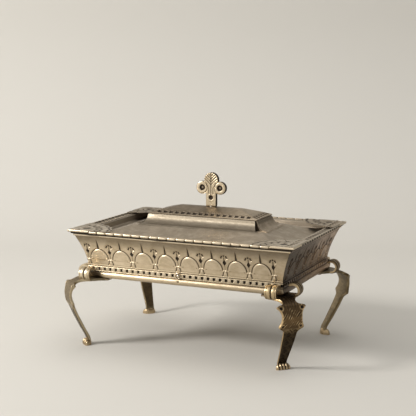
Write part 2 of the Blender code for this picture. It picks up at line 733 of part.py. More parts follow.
def build_finial(lid):
    """Flat palmette plate on a threaded stem, held by a washer and a nut inside the lid."""
    crown_level = FINIAL_FOOT + FINIAL_HEIGHT
    lobe_level = crown_level - LOBE_RADIUS
    volute_level = lobe_level - LOBE_RADIUS - VOLUTE_RADIUS / 3
    volute_out = FINIAL_WIDTH / 2 - VOLUTE_RADIUS
    half = FINIAL_THICKNESS / 2

    def place(across, level, depth):
        return (FINIAL_SHIFT + across, depth, level)

    neck = FINIAL_NECK / 2
    stalk = [(-neck, FINIAL_FOOT), (neck, FINIAL_FOOT), (neck, lobe_level), (-neck, lobe_level)]
    finial = piece("finial", prism(stalk, -half, half, place), GOLD, lid)
    step = FINIAL_THICKNESS / 50
    lobe = round_profile(0, lobe_level, LOBE_RADIUS, LOBE_SIDES)
    shape_with(finial, prism(lobe, -half + step, half - step, place), "UNION", "lobe")
    for label, sign in (("left_volute", -1), ("right_volute", 1)):
        disc = round_profile(sign * volute_out, volute_level, VOLUTE_RADIUS, LOBE_SIDES)
        shape_with(finial, prism(disc, -half - step, half + step, place), "UNION", label)

    washer_top = PANEL_TOP - SHEET - SEAT
    washer_bottom = washer_top - WASHER_THICKNESS
    nut_top = washer_bottom - SEAT
    stem_bottom = washer_bottom - STEM_TAIL
    stem = turned(
        [(STEM_RADIUS, stem_bottom), (STEM_RADIUS, FINIAL_FOOT + STEM_RADIUS)],
        (FINIAL_SHIFT, 0, 0),
        (0, 0, 1),
        SMALL_SIDES,
    )
    shape_with(finial, stem, "UNION", "stem")

    rim = [(WASHER_RADIUS, washer_bottom), (WASHER_RADIUS, washer_top)]
    middle = (FINIAL_SHIFT, 0, 0)
    washer = piece("finial_washer", turned(rim, middle, (0, 0, 1), ROUND_SIDES), STEEL, lid)
    reach = WASHER_THICKNESS + SEAT
    hole_through(washer, (FINIAL_SHIFT, 0, washer_top), (0, 0, 1), STEM_RADIUS + SEAT, reach, "hole")
    flats = [(NUT_RADIUS, nut_top - NUT_HEIGHT), (NUT_RADIUS, nut_top)]
    nut = piece("finial_nut", turned(flats, middle, (0, 0, 1), NUT_SIDES), STEEL, lid)
    hole_through(nut, (FINIAL_SHIFT, 0, nut_top), (0, 0, 1), STEM_RADIUS + SEAT, NUT_HEIGHT + SEAT, "hole")


def leaf_outline():
    """Side view of the body's leaf: it follows the flared wall, then stands up to the pin."""
    half_y = BASE_DEPTH / 2
    turn_level = HINGE_LEVEL - KNUCKLE_RADIUS - SEAT
    foot_level = turn_level - HINGE_LEAF_HEIGHT
    near = []
    for i in range(FLARE_STEPS // 2 + 1):
        level = foot_level + (turn_level - foot_level) * i / (FLARE_STEPS // 2)
        near.append((half_y + wall_outward(level) + SEAT, level))
    far = [(out + HINGE_LEAF, level) for out, level in near]
    return near + far[::-1]


def build_hinge(name, middle, walls, rim, body, lid):
    """Butt hinge of three knuckles. The outer two belong to the body's leaf, the middle one to the lid's."""
    third = HINGE_WIDTH / 3
    axis = (1, 0, 0)
    centre = Vector((middle, HINGE_BACK, HINGE_LEVEL))
    leaf_shape = prism(
        leaf_outline(),
        middle - HINGE_WIDTH / 2,
        middle + HINGE_WIDTH / 2,
        lambda out, level, along: (along, out, level),
    )
    body_leaf = piece(f"{name}_body_leaf", leaf_shape, AGED, body, centre)
    half_y = BASE_DEPTH / 2
    turn_level = HINGE_LEVEL - KNUCKLE_RADIUS - SEAT
    near_out = half_y + wall_outward(turn_level) + SEAT
    stand = HINGE_BACK - KNUCKLE_RADIUS + SEAT
    for label, side in (("left", -1), ("right", 1)):
        low = middle + side * HINGE_WIDTH / 2
        high = low - side * (third - SEAT / 2)
        knuckle_profile = [(KNUCKLE_RADIUS, min(low, high)), (KNUCKLE_RADIUS, max(low, high))]
        knuckle = turned(knuckle_profile, (0, HINGE_BACK, HINGE_LEVEL), axis, ROUND_SIDES)
        web_outline = [
            (near_out, turn_level - HINGE_LEAF),
            (near_out + HINGE_LEAF, turn_level - HINGE_LEAF),
            (stand + HINGE_LEAF, HINGE_LEVEL),
            (stand, HINGE_LEVEL),
            (near_out + SEAT / 2, turn_level),
        ]
        inset = SEAT / 3
        web = prism(
            web_outline,
            min(low, high) + inset,
            max(low, high) - inset,
            lambda out, level, along: (along, out, level),
        )
        shape_with(body_leaf, web, "UNION", f"web_{label}")
        shape_with(body_leaf, knuckle, "UNION", f"knuckle_{label}")
    bore = [(PIN_RADIUS + RUNNING, middle - HINGE_WIDTH), (PIN_RADIUS + RUNNING, middle + HINGE_WIDTH)]
    bore_place = (0, HINGE_BACK, HINGE_LEVEL)
    shape_with(body_leaf, turned(bore, bore_place, axis, SMALL_SIDES), "DIFFERENCE", "bore")

    leaf_top = WALL_TOP
    reach_in = half_y + WALL_FLARE - WALL_THICKNESS - LEAF_INSET
    back_edge = HINGE_BACK - KNUCKLE_RADIUS - SEAT
    plate = box_shape(
        (middle - HINGE_WIDTH / 2, reach_in, leaf_top - HINGE_LEAF),
        (middle + HINGE_WIDTH / 2, back_edge, leaf_top),
    )
    lid_leaf = piece(f"{name}_lid_leaf", plate, AGED, lid, centre)
    half_middle = third / 2 - SEAT / 2
    tongue = box_shape(
        (middle - half_middle + SEAT / 3, reach_in + LEAF_INSET, leaf_top - HINGE_LEAF * 0.9),
        (middle + half_middle - SEAT / 3, HINGE_BACK, leaf_top - HINGE_LEAF * 0.05),
    )
    shape_with(lid_leaf, tongue, "UNION", "tongue")
    middle_profile = [(KNUCKLE_RADIUS, middle - half_middle), (KNUCKLE_RADIUS, middle + half_middle)]
    middle_knuckle = turned(middle_profile, bore_place, axis, ROUND_SIDES)
    shape_with(lid_leaf, middle_knuckle, "UNION", "knuckle")
    shape_with(lid_leaf, turned(bore, bore_place, axis, SMALL_SIDES), "DIFFERENCE", "bore")

    half_pin = HINGE_WIDTH / 2 + SEAT
    pin_profile = [
        (PIN_HEAD_RADIUS, -half_pin - PIN_HEAD_THICKNESS),
        (PIN_HEAD_RADIUS, -half_pin),
        (PIN_RADIUS, -half_pin),
        (PIN_RADIUS, half_pin),
        (PIN_HEAD_RADIUS, half_pin),
        (PIN_HEAD_RADIUS, half_pin + PIN_HEAD_THICKNESS),
    ]
    piece(f"{name}_pin", turned(pin_profile, centre, axis, SMALL_SIDES), STEEL, body, centre)

    notch_half = HINGE_WIDTH / 2 + PIN_HEAD_THICKNESS + 2 * SEAT
    notch = box_shape(
        (middle - notch_half, half_y, WALL_TOP - HINGE_NOTCH),
        (middle + notch_half, HINGE_BACK + OVERRUN, WALL_TOP + OVERRUN),
    )
    shape_with(walls["back"], notch, "DIFFERENCE", f"{name}_notch")
    for label, side in (("left", -1), ("right", 1)):
        along = middle + side * RIVET_SPACING / 2
        wall_rivet(f"{name}_wall_rivet_{label}", along, body_leaf, walls["back"], body)
        rim_rivet(f"{name}_rim_rivet_{label}", along, lid_leaf, rim, lid)


def wall_rivet(name, along, leaf, wall, body):
    """Rivet square to the flared wall, through the leaf and the wall, with a head on both ends."""
    turn_level = HINGE_LEVEL - KNUCKLE_RADIUS - SEAT
    level = turn_level - HINGE_LEAF_HEIGHT / 2
    slope = (wall_outward(level + SEAT) - wall_outward(level - SEAT)) / (2 * SEAT)
    lean = math.atan(slope)
    axis = Vector((0, math.cos(lean), -math.sin(lean)))
    centre = Vector((along, BASE_DEPTH / 2 + wall_outward(level), level))
    outer = (SEAT + HINGE_LEAF) * math.cos(lean) + SEAT
    inner = -WALL_THICKNESS * math.cos(lean) - SEAT
    profile = [
        (RIVET_HEAD_RADIUS * math.sqrt(0.5), inner - RIVET_HEAD_HEIGHT),
        (RIVET_HEAD_RADIUS, inner),
        (RIVET_RADIUS, inner),
        (RIVET_RADIUS, outer),
        (RIVET_HEAD_RADIUS, outer),
        (RIVET_HEAD_RADIUS * math.sqrt(0.5), outer + RIVET_HEAD_HEIGHT),
    ]
    piece(name, turned(profile, centre, axis, SMALL_SIDES), STEEL, body, centre)
    reach = WALL_THICKNESS + HINGE_LEAF
    for item in (leaf, wall):
        hole_through(item, centre, axis, RIVET_RADIUS + SEAT, reach, name)


def rim_rivet(name, along, leaf, rim, lid):
    """Countersunk rivet up through the lid's leaf into the rim."""
    back = BASE_DEPTH / 2 + WALL_FLARE - WALL_THICKNESS / 2
    low = WALL_TOP - HINGE_LEAF
    high = RIM_TOP - RIVET_BLIND
    centre = Vector((along, back, low))
    profile = [(RIVET_RADIUS, 0), (RIVET_RADIUS, high - low)]
    piece(name, turned(profile, centre, (0, 0, 1), SMALL_SIDES), STEEL, lid, centre)
    hole = [(RIVET_RADIUS + SEAT, -OVERRUN), (RIVET_RADIUS + SEAT, high - low + SEAT)]
    for item in (leaf, rim):
        shape_with(item, turned(hole, centre, (0, 0, 1), SMALL_SIDES), "DIFFERENCE", name)


def main():
    empty_scene()
    body = guide("body", (0, 0, 0))
    lid = guide("lid", (0, HINGE_BACK, HINGE_LEVEL))
    walls = build_body(body)
    build_legs(body)
    rim = build_lid_base(lid)
    build_plinth(lid)
    build_roof(lid)
    build_finial(lid)
    build_hinge("hinge_left", -HINGE_SPACING / 2, walls, rim, body, lid)
    build_hinge("hinge_right", HINGE_SPACING / 2, walls, rim, body, lid)


main()
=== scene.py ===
"""Looks of a footed brass keepsake box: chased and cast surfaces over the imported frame.

Places are metres in the frame's axes: X along the front, -Y out of the front, +Z up.
"""

import math

import bpy
import numpy as np
from mathutils import Matrix, Vector


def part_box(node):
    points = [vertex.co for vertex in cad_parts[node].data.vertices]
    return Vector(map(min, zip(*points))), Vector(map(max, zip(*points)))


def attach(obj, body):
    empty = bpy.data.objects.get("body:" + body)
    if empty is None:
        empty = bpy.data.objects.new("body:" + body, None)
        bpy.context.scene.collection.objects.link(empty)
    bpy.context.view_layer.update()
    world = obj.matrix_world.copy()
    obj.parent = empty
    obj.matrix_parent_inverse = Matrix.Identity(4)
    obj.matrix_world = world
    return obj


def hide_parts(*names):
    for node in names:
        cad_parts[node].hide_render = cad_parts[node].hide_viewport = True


MM = 0.001
SIDES = ("front", "back", "left", "right")
CORNERS = {"front_left": (-1, -1), "front_right": (1, -1), "back_left": (-1, 1), "back_right": (1, 1)}

# The camera, fitted to the photograph
CAMERA_AZIMUTH = math.radians(23.33)
CAMERA_ELEVATION = math.radians(8.53)
CAMERA_ROLL = math.radians(0.358)
CAMERA_DISTANCE = 949.7 * MM
CAMERA_TARGET = Vector((-2.6 * MM, 0, 115.05 * MM))
LENS_MM = 95.56
SENSOR_MM = 36

# The stage
FLOOR_HALF = 2.4
SWEEP_START = 0.42
SWEEP_RADIUS = 0.3
SWEEP_HEIGHT = 1.6

# Walls
WALL_LEDGE = 0.6 * MM
WALL_THICKNESS = 1.8 * MM
FLARE_POWER = 1.5
EDGE_ROLL = 0.9 * MM
WALL_STEPS = {"front": 820, "back": 420, "left": 290, "right": 560}
MITRE = 0.25 * MM

# The arcade frieze, heights above the foot of the wall
ARCH_PITCH = 20.9 * MM
ARCH_HALF = 8.2 * MM
ARCH_RISE = 9.2 * MM
ARCH_FOOT = 5.4 * MM
FRIEZE_SHIFT = -3.1 * MM
ARCHES = {"front": 8, "back": 8, "left": 5, "right": 5}
GROOVE_WIDTH = 0.42 * MM
GROOVE_DEPTH = 0.42 * MM
BUD_HEIGHT = 12.4 * MM
FAN_HEIGHT = 16.6 * MM
SPIKE_TOP = 24.8 * MM
RING_MARK = (21.7 * MM, 23.6 * MM, 1.3 * MM)

# Bands and bars
DOT_PITCH = 5.3 * MM
DOT_HALF = 1.05 * MM
DOT_DEPTH = 1.1 * MM
BOSS_SHIFT = -3.0 * MM
BAR_SWELL = 0.35 * MM

# Legs, in the upright plane through the corner of the base: reach out of it, height, width
STRAP_THICKNESS = 2.3 * MM
STRAP_MM = (
    (-14.0, 57.45, 21.0),
    (-4.0, 57.45, 21.0),
    (1.6, 57.4, 19.8),
    (4.8, 57.2, 16.6),
    (7.6, 56.7, 13.6),
    (10.2, 55.9, 12.3),
    (12.0, 55.1, 13.2),
    (13.2, 54.4, 17.0),
    (14.0, 53.8, 24.0),
    (14.6, 52.9, 24.4),
    (15.2, 51.8, 21.6),
    (16.0, 50.0, 19.0),
    (16.6, 47.8, 17.5),
    (16.9, 45.6, 17.2),
    (16.7, 43.2, 17.6),
    (16.2, 40.8, 18.8),
    (15.5, 38.5, 21.0),
    (15.0, 37.2, 20.6),
    (14.4, 35.8, 16.4),
    (13.7, 34.0, 12.4),
    (12.6, 31.4, 11.3),
    (10.2, 26.0, 10.7),
    (7.6, 20.8, 9.9),
    (4.9, 15.4, 8.9),
    (2.2, 10.4, 8.1),
    (0.2, 6.6, 7.7),
    (-0.3, 3.8, 8.0),
)
LEANS = {"front_left": 0, "front_right": 0, "back_left": 0, "back_right": -3.5 * MM}
SCROLL_RADIUS = 5.9 * MM
SCROLL_STRAP = 2.0 * MM
SCROLL_WIDTH = 9.7 * MM
SCROLL_ROOT = 10.0 * MM
SCROLL_CLEARANCE = 0.5 * MM
SCROLL_END = math.radians(135)
SCROLL_STARTS = {
    "front_left": (-2.3 * MM, 4.3 * MM),
    "front_right": (2.3 * MM, 7.5 * MM),
    "back_left": (1.5 * MM, 5.0 * MM),
    "back_right": (1.5 * MM, 0.5 * MM),
}
PAW_LENGTH = 6.8 * MM
PAW_WIDTH = 12.8 * MM
PAW_HEIGHT = 5.6 * MM
PAW_TOE = 4.4 * MM
TOES = 5

# Lid
BEAD_PITCH = 8.0 * MM
BEAD_GAP = 2.2 * MM
BEAD_SHIFT = 3.7 * MM
END_BEAD_PITCH = 6.1 * MM
BEAD_HALF = 1.0 * MM
LIP_LENGTH = 19.4 * MM
CORNER_SPAN = 38.0 * MM
LEAF_LOBES = 6
DISH_LEAN = 0.6 * MM
SHEET = 1.2 * MM
GUTTER_WIDTH = 3.6 * MM
PANEL_POWER = 1.15
PLINTH_POWER = 3.0
PLINTH_EDGE = 0.4 * MM
PLINTH_STRIP = 1.5 * MM
PLINTH_FLARE = 9.5 * MM
PLINTH_SPLAY = 4.2 * MM
RIM_WIDTH = 8.0 * MM
DASH_PITCH = 5.47 * MM
DASH_INSET = 3.0 * MM
PLINTH_RUN_ON = 3.0 * MM
LIP_THICKNESS = 1.0 * MM
ROOF_WALL = 3.0 * MM
ROOF_SHEET = 1.5 * MM
RIDGE_LENGTH = 56.0 * MM
RIDGE_WIDTH = 5.6 * MM

# Finial
LOBE_RADIUS = 6.4 * MM
VOLUTE_RADIUS = 5.5 * MM
NECK_HALF = 4.6 * MM
EYE_RADIUS = 2.7 * MM
LOWER_EYE_RADIUS = 2.1 * MM

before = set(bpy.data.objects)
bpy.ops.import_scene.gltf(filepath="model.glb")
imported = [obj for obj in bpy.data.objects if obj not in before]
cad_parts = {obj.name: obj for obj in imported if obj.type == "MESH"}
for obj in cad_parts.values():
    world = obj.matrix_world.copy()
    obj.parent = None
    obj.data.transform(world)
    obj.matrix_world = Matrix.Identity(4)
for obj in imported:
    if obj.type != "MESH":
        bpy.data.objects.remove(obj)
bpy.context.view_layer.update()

# Sizes read from the frame
BASE_Y = -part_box("bead_band_front")[0].y
BASE_X = -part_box("bead_band_left")[0].x
WALL_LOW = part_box("wall_front")[0].z
WALL_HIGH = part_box("wall_front")[1].z
FLARE = -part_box("wall_front")[0].y - BASE_Y
LID_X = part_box("lid_edging_right")[1].x
LID_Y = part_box("lid_edging_back")[1].y
LEG_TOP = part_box("bottom_plate")[0].z - 0.3 * MM


class Value:
    """A number that varies over a surface. Sums and products on it add Math nodes."""

    def __init__(self, finish, socket):
        self.finish = finish
        self.socket = socket

    def math(self, operation, *terms):
        return self.finish.node("ShaderNodeMath", {"operation": operation}, dict(enumerate(terms)))

    def __add__(self, other):
        return self.math("ADD", self, other)

    __radd__ = __add__

    def __sub__(self, other):
        return self.math("SUBTRACT", self, other)

    def __rsub__(self, other):
        return self.math("SUBTRACT", other, self)

    def __mul__(self, other):
        return self.math("MULTIPLY", self, other)

    __rmul__ = __mul__

    def band(self, low, high):
        """0 below low, 1 above high, with a smooth step between them."""
        settings = {"interpolation_type": "SMOOTHSTEP"}
        inputs = {"Value": self, "From Min": low, "From Max": high}
        return self.finish.node("ShaderNodeMapRange", settings, inputs)


class Finish:
    """One node material over a Principled shader."""

    def __init__(self, name):
        self.material = bpy.data.materials.new(name)
        self.material.use_nodes = True
        self.tree = self.material.node_tree
        self.shader = self.tree.nodes["Principled BSDF"]
        self.place = self.node("ShaderNodeTexCoord", {}, {}, "Object")

    def node(self, kind, settings, inputs, output=0):
        made = self.tree.nodes.new(kind)
        for key, value in settings.items():
            setattr(made, key, value)
        for key, value in inputs.items():
            self.feed(made.inputs[key], value)
        return Value(self, made.outputs[output])

    def feed(self, socket, value):
        if isinstance(value, Value):
            self.tree.links.new(value.socket, socket)
        else:
            socket.default_value = value

    def set(self, **inputs):
        for name, value in inputs.items():
            self.feed(self.shader.inputs[name.replace("_", " ").title()], value)

    def along(self, axis):
        """Distance along X, Y or Z, in metres."""
        return self.node("ShaderNodeSeparateXYZ", {}, {"Vector": self.place}, axis)

    def noise(self, size, detail=4.0, roughness=0.55, stretch=(1, 1, 1)):
        """Cloudy noise from 0 to 1 whose features are about that size in metres."""
        inputs = {"Vector": self.place, "Scale": stretch}
        place = self.node("ShaderNodeMapping", {}, inputs)
        inputs = {"Vector": place, "Scale": 1 / size, "Detail": detail, "Roughness": roughness}
        return self.node("ShaderNodeTexNoise", {}, inputs)

    def cells(self, size):
        """Distance from the nearest of many scattered points, 0 at each point."""
        inputs = {"Vector": self.place, "Scale": 1 / size}
        return self.node("ShaderNodeTexVoronoi", {}, inputs, "Distance")

    def mix(self, factor, first, second):
        inputs = {0: factor, 6: first, 7: second}
        return self.node("ShaderNodeMix", {"data_type": "RGBA"}, inputs, 2)

    def attribute(self, name):
        return self.node("ShaderNodeAttribute", {"attribute_name": name}, {}, "Fac")

    def bump(self, height, distance, strength):
        inputs = {"Height": height, "Distance": distance, "Strength": strength}
        self.set(Normal=self.node("ShaderNodeBump", {}, inputs))


def colour(red, green, blue):
    return (red, green, blue, 1.0)


def brass(name, worn, plain, tarnish_and_shade, roughness, cover, gloom=(), dents=0.25 * MM):
    """Old brass: bright on worn edges, brown in the hollows, clouded by handling.

    hollow is an attribute of the chased pieces, 1 at the bottom of their cuts and below 0 on their ridges. It
    carries patina in the cuts together with painted shade under things, in gaps and on sides turned from the
    window, and painted highlights on lit edges where it is far below 0. cover is how much of the plain
    surface the dark colour takes. gloom lists bands along an axis where the brass is darkened towards the
    dark colour,
    most of them painted shade: axis, where it starts, where it is full, and how strong it is there. dents is
    how deep the grain is.
    """
    finish = Finish(name)
    hollow = finish.attribute("hollow")
    clouds = finish.noise(14 * MM, 5.0, 0.6)
    grain = finish.noise(1.6 * MM, 6.0, 0.62)
    specks = finish.cells(2.4 * MM).band(0.2, 0.05)
    rub = finish.noise(5 * MM, 4.0, 0.6, (1, 1, 2.2))
    # Worn colour from rubbing noise, and painted highlight where the hollow attribute is below 0
    wear_and_highlight = (clouds * 0.55 + rub * 0.45 - hollow * 0.9).band(0.36, 0.66)
    base = finish.mix(wear_and_highlight, plain, worn)
    # Darkened by cloudy tarnish, by patina in the cuts and by painted shade where the hollow attribute is
    # above 0
    veil = (hollow * 1.1 + grain * 0.35 + clouds * 0.3 - 0.55 + cover).band(0.05, 0.75)
    base = finish.mix(veil, base, tarnish_and_shade)
    pitting = specks * grain.band(0.5, 0.75)
    base = finish.mix(pitting * 0.5, base, tarnish_and_shade)
    # Painted highlights on lit edges, where the hollow attribute is far below 0, are kept out of the gloom
    painted_highlight = (hollow * -1.0).band(0.9, 1.6)
    # gloom: bands of darkening along an axis, mostly painted shade
    for axis, start, full, strength in gloom:
        base = finish.mix(finish.along(axis).band(start, full) * (1.0 - painted_highlight) * strength, base, tarnish_and_shade)
    finish.set(Base_Color=base, Metallic=1.0 - veil * 0.35)
    finish.set(Roughness=roughness + grain * 0.16 + veil * 0.22 - wear_and_highlight * 0.08)
    finish.bump(grain * 0.55 + rub * 0.3 - pitting * 0.6, dents, 0.5)
    return finish.material


def steel(name):
    finish = Finish(name)
    grain = finish.noise(0.8 * MM, 5.0, 0.6)
    rust = finish.noise(3 * MM, 4.0, 0.6).band(0.5, 0.8)
    base = finish.mix(rust, colour(0.34, 0.31, 0.26), colour(0.13, 0.085, 0.05))
    finish.set(Base_Color=base, Metallic=1.0 - rust * 0.4, Roughness=0.34 + grain * 0.2 + rust * 0.2)
    finish.bump(grain, 0.1 * MM, 0.4)
    return finish.material


def skin(name, rings, finish, body, replaced=(), hollow=None, sharp=42):
    """Closed skin through rings of points (rings x points x 3). Both ends are capped and it faces out."""
    rings = np.asarray(rings, float)
    count, size = rings.shape[:2]
    points = rings.reshape(-1, 3)
    index = np.arange(count * size).reshape(count, size)
    near, far = index[:-1], index[1:]
    quads = np.stack([near, np.roll(near, -1, 1), np.roll(far, -1, 1), far], -1).reshape(-1, 4)
    a, b, c, d = (points[quads[:, i]] for i in range(4))
    volume = (a * np.cross(b, c)).sum() + (a * np.cross(c, d)).sum()
    for cap in (index[0][::-1], index[-1]):
        fan = points[cap]
        volume += (fan[0] * np.cross(fan[1:-1], fan[2:])).sum()
    faces = quads.tolist() + [index[0][::-1].tolist(), index[-1].tolist()]
    if volume < 0:
        faces = [face[::-1] for face in faces]
    mesh = bpy.data.meshes.new(name)
    mesh.from_pydata(points.tolist(), [], faces)
    # The hollow attribute holds each point's shade: patina in cuts, painted shade, and painted highlights
    # where far below 0
    depth = np.zeros(count * size) if hollow is None else np.broadcast_to(hollow, (count, size)).ravel()
    attribute = mesh.attributes.new("hollow", "FLOAT", "POINT")
    attribute.data.foreach_set("value", depth.astype(np.float32))
    mesh.shade_smooth()
    mesh.set_sharp_from_angle(angle=math.radians(sharp))
    mesh.materials.append(finish)
    item = bpy.data.objects.new(name, mesh)
    bpy.context.scene.collection.objects.link(item)
    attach(item, body)
    if replaced:
        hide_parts(*replaced)
    return item


def smooth_step(value, low, high):
    share = np.clip((value - low) / (high - low), 0, 1)
    return share * share * (3 - 2 * share)


def line(distance, width):
    """1 on a line and 0 away from it, as a bell of that half width."""
    return np.exp(-((distance / width) ** 2))


def segment(x, z, start, end):
    """Distance of points from the straight line between two places."""
    along_x, along_z = end[0] - start[0], end[1] - start[1]
    share = ((x - start[0]) * along_x + (z - start[1]) * along_z) / (along_x**2 + along_z**2)
    share = np.clip(share, 0, 1)
    return np.hypot(x - start[0] - share * along_x, z - start[1] - share * along_z)


def curve(points, count):
    """Catmull-Rom curve through rows of numbers, read at even steps of chord length."""
    points = np.asarray(points, float)
    chord = np.concatenate([[0], np.cumsum(np.hypot(*np.diff(points[:, :2], axis=0).T))])
    at = np.interp(np.linspace(0, chord[-1], count), chord, np.arange(len(points)))
    first = np.clip(at.astype(int), 0, len(points) - 2)
    t = (at - first)[:, None]
    p0, p1, p2, p3 = (points[np.clip(first + i, 0, len(points) - 1)] for i in (-1, 0, 1, 2))
    square, cube = t * t, t * t * t
    return 0.5 * (
        2 * p1 + (p2 - p0) * t + (2 * p0 - 5 * p1 + 4 * p2 - p3) * square + (3 * p1 - p0 - 3 * p2 + p3) * cube
    )


def side_points(side, along, outward, height):
    """World places on one side, from arrays measured along it, out of the base outline and up."""
    along, outward, height = np.broadcast_arrays(along, outward, height)
    if side == "front":
        return np.stack([along, -BASE_Y - outward, height], -1)
    if side == "back":
        return np.stack([-along, BASE_Y + outward, height], -1)
    if side == "left":
        return np.stack([-BASE_X - outward, -along, height], -1)
    return np.stack([BASE_X + outward, along, height], -1)


def side_half(side):
    return BASE_X if side in ("front", "back") else BASE_Y


def wall_outward(height):
    share = np.clip((height - WALL_LOW) / (WALL_HIGH - WALL_LOW), 0, 1)
    return -WALL_LEDGE + (FLARE + WALL_LEDGE) * share**FLARE_POWER


def petals(x, z):
    """Fan of five punched dots on a half circle over a short stalk."""
    mark = line(segment(x, z, (0, -3.2 * MM), (0, 0.2 * MM)), 0.4 * MM)
    for angle in np.radians((-90, -48, 0, 48, 90)):
        dot = (2.5 * MM * math.sin(angle), 1.7 * MM * math.cos(angle))
        mark = np.maximum(mark, 1.25 * line(np.hypot(x - dot[0], z - dot[1]), 0.78 * MM))
    return mark


def frieze(side, along, height):
    """Relief of the arcade, in metres out of the wall, and how deep in shade each point is.

    Arches are half ellipses cut as grooves round a slightly raised field. Between them stand a vase of
    splayed lines, a bar, a stalk, a punched bud and a fan of petals, and a spike rises over each arch.
    """
    count = ARCHES[side]
    shift = FRIEZE_SHIFT if side in ("front", "back") else 0
    reach = count * ARCH_PITCH / 2
    x = along - shift
    start = 0 if count % 2 else ARCH_PITCH / 2
    arch = (x - start + ARCH_PITCH / 2) % ARCH_PITCH - ARCH_PITCH / 2
    stem = (x - start) % ARCH_PITCH - ARCH_PITCH / 2
    inside = smooth_step(reach - np.abs(x), -0.2 * MM, 0.2 * MM)
    near = smooth_step(reach + 2.6 * MM - np.abs(x), -0.2 * MM, 0.2 * MM)
    up = height - ARCH_FOOT

    span = np.hypot(arch / ARCH_HALF, np.maximum(up, 0) / ARCH_RISE)
    edge = (span - 1) * ARCH_HALF
    above = smooth_step(up, -0.5 * MM, 0.1 * MM)
    rim = line(edge - 0.15 * MM, GROOVE_WIDTH) * above
    field = smooth_step(-edge, 0.1 * MM, 0.9 * MM) * smooth_step(up, -0.9 * MM, 0.6 * MM)
    ridge = line(edge + 1.05 * MM, 0.5 * MM) * above
    tick = line(segment(np.abs(arch), up, (ARCH_HALF, 0), (ARCH_HALF - 2.3 * MM, -0.1 * MM)), 0.34 * MM)
    widen = 0.2 * MM + 0.75 * MM * smooth_step(-up, -SPIKE_TOP + ARCH_FOOT, -ARCH_RISE - 0.3 * MM)
    spike = np.exp(-((arch / widen) ** 2))
    spike *= smooth_step(up, ARCH_RISE + 0.1 * MM, ARCH_RISE + 0.9 * MM)
    spike *= smooth_step(-up, ARCH_FOOT - SPIKE_TOP, ARCH_FOOT - SPIKE_TOP + 5 * MM)

    vase = line(segment(np.abs(stem), up, (1.3 * MM, -0.9 * MM), (2.3 * MM, 1.2 * MM - ARCH_FOOT)), 0.5 * MM)
    bar = line(segment(stem, up, (-3.2 * MM, -0.1 * MM), (3.2 * MM, -0.1 * MM)), 0.5 * MM)
    knob = line(np.hypot(stem, (up + 2.6 * MM) * 0.7), 0.9 * MM)
    stalk = line(segment(stem, height, (0.1 * MM, ARCH_FOOT + 0.8 * MM), (0, BUD_HEIGHT)), 0.36 * MM)
    drop = np.abs(stem) / (1.75 * MM) + np.abs(height - BUD_HEIGHT) / (2.7 * MM)
    bud = smooth_step(-drop, -1.1, -0.7)
    leaf_foot = (0.9 * MM, FAN_HEIGHT - 3.3 * MM)
    leaf_tip = (2.7 * MM, FAN_HEIGHT - 1.1 * MM)
    leaf = line(segment(stem, height, leaf_foot, leaf_tip), 0.5 * MM)
    leaf += line(segment(-stem, height, (1.3 * MM, BUD_HEIGHT - 2.4 * MM), (1.9 * MM, BUD_HEIGHT)), 0.4 * MM)
    fan = petals(stem, height - FAN_HEIGHT)

    cut = np.maximum.reduce([rim * 0.95, tick * 0.7, spike * 1.15]) * inside
    plant = np.maximum.reduce([vase * 0.9, stalk * 0.7, fan * 1.05, bud * 1.7]) * near
    relief = -GROOVE_DEPTH * np.maximum(cut, plant)
    raised = (bar * 0.34 + knob * 0.42 + leaf * 0.34) * MM * near
    relief += (field * 0.2 * MM + ridge * 0.2 * MM) * inside + raised
    shade = np.clip(np.maximum(cut, plant), 0, 1.3)
    shade = shade - 0.5 * ridge * inside - (0.5 * bar + 0.5 * knob + 0.6 * leaf) * near

    foot_line = line(height - 1.3 * MM, 0.22 * MM)
    top_line = line(height - (WALL_HIGH - WALL_LOW - 2.5 * MM), 0.25 * MM)
    relief -= 0.22 * MM * foot_line + 0.12 * MM * top_line
    shade = shade + 0.7 * foot_line + 0.4 * top_line
    if side == "front":
        ring_x, ring_z, ring_radius = RING_MARK
        ring = line(np.hypot(along - ring_x, height - ring_z) - ring_radius, 0.3 * MM)
        relief -= 0.2 * MM * ring
        shade = shade + 0.6 * ring
    return relief, shade


def walls():
    """Each wall is its section carried along the side, with mitred ends and the frieze pressed into it.

    The section runs up the flared face, round a bead at the edge and down inside. On the back, the edge
    is lowered in the notches that the hinges lie in.
    """
    roll_level = WALL_HIGH - EDGE_ROLL
    face = np.linspace(WALL_LOW, roll_level - EDGE_ROLL, 92)
    angles = np.radians(np.linspace(-45, 90, 9))
    roll_out = FLARE - EDGE_ROLL + EDGE_ROLL * np.cos(angles)
    roll_up = roll_level + EDGE_ROLL * np.sin(angles)
    inner = np.linspace(WALL_HIGH, WALL_LOW, 10)
    height = np.concatenate([face, roll_up, inner])
    outward = np.concatenate([wall_outward(face), roll_out, wall_outward(inner) - WALL_THICKNESS])
    on_face = np.concatenate([np.ones(92), np.zeros(19)])
    across = np.concatenate([np.zeros(92), np.linspace(0.1, 0.9, 9), np.ones(10)])
    for side in SIDES:
        share = np.linspace(-1, 1, WALL_STEPS[side])[:, None]
        rough_along = share * (side_half(side) + outward[None, :])
        relief, shade = frieze(side, rough_along, (height - WALL_LOW)[None, :])
        out = outward[None, :] + relief * on_face
        up = np.broadcast_to(height[None, :], out.shape).copy()
        if side == "back":
            for hinge in ("hinge_left", "hinge_right"):
                low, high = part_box(f"{hinge}_pin")
                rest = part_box("wall_back")[1].z - 2.0 * MM
                in_notch = (-rough_along > low.x - 0.3 * MM) & (-rough_along < high.x + 0.3 * MM)
                cut = in_notch & (up > rest)
                out = np.where(cut, wall_outward(rest) - WALL_THICKNESS * across, out)
                up = np.where(cut, rest, up)
        along = share * (side_half(side) + out - MITRE)
        lit = side in ("front", "left")
        points = side_points(side, along, out, up)
        finish = WALL_BRASS if lit else SHADE_BRASS
        skin(f"chased_wall_{side}", points, finish, "body", [f"wall_{side}"], shade * on_face)
        if side != "back":
            rolled_edge(side, FLARE - EDGE_ROLL, roll_level)


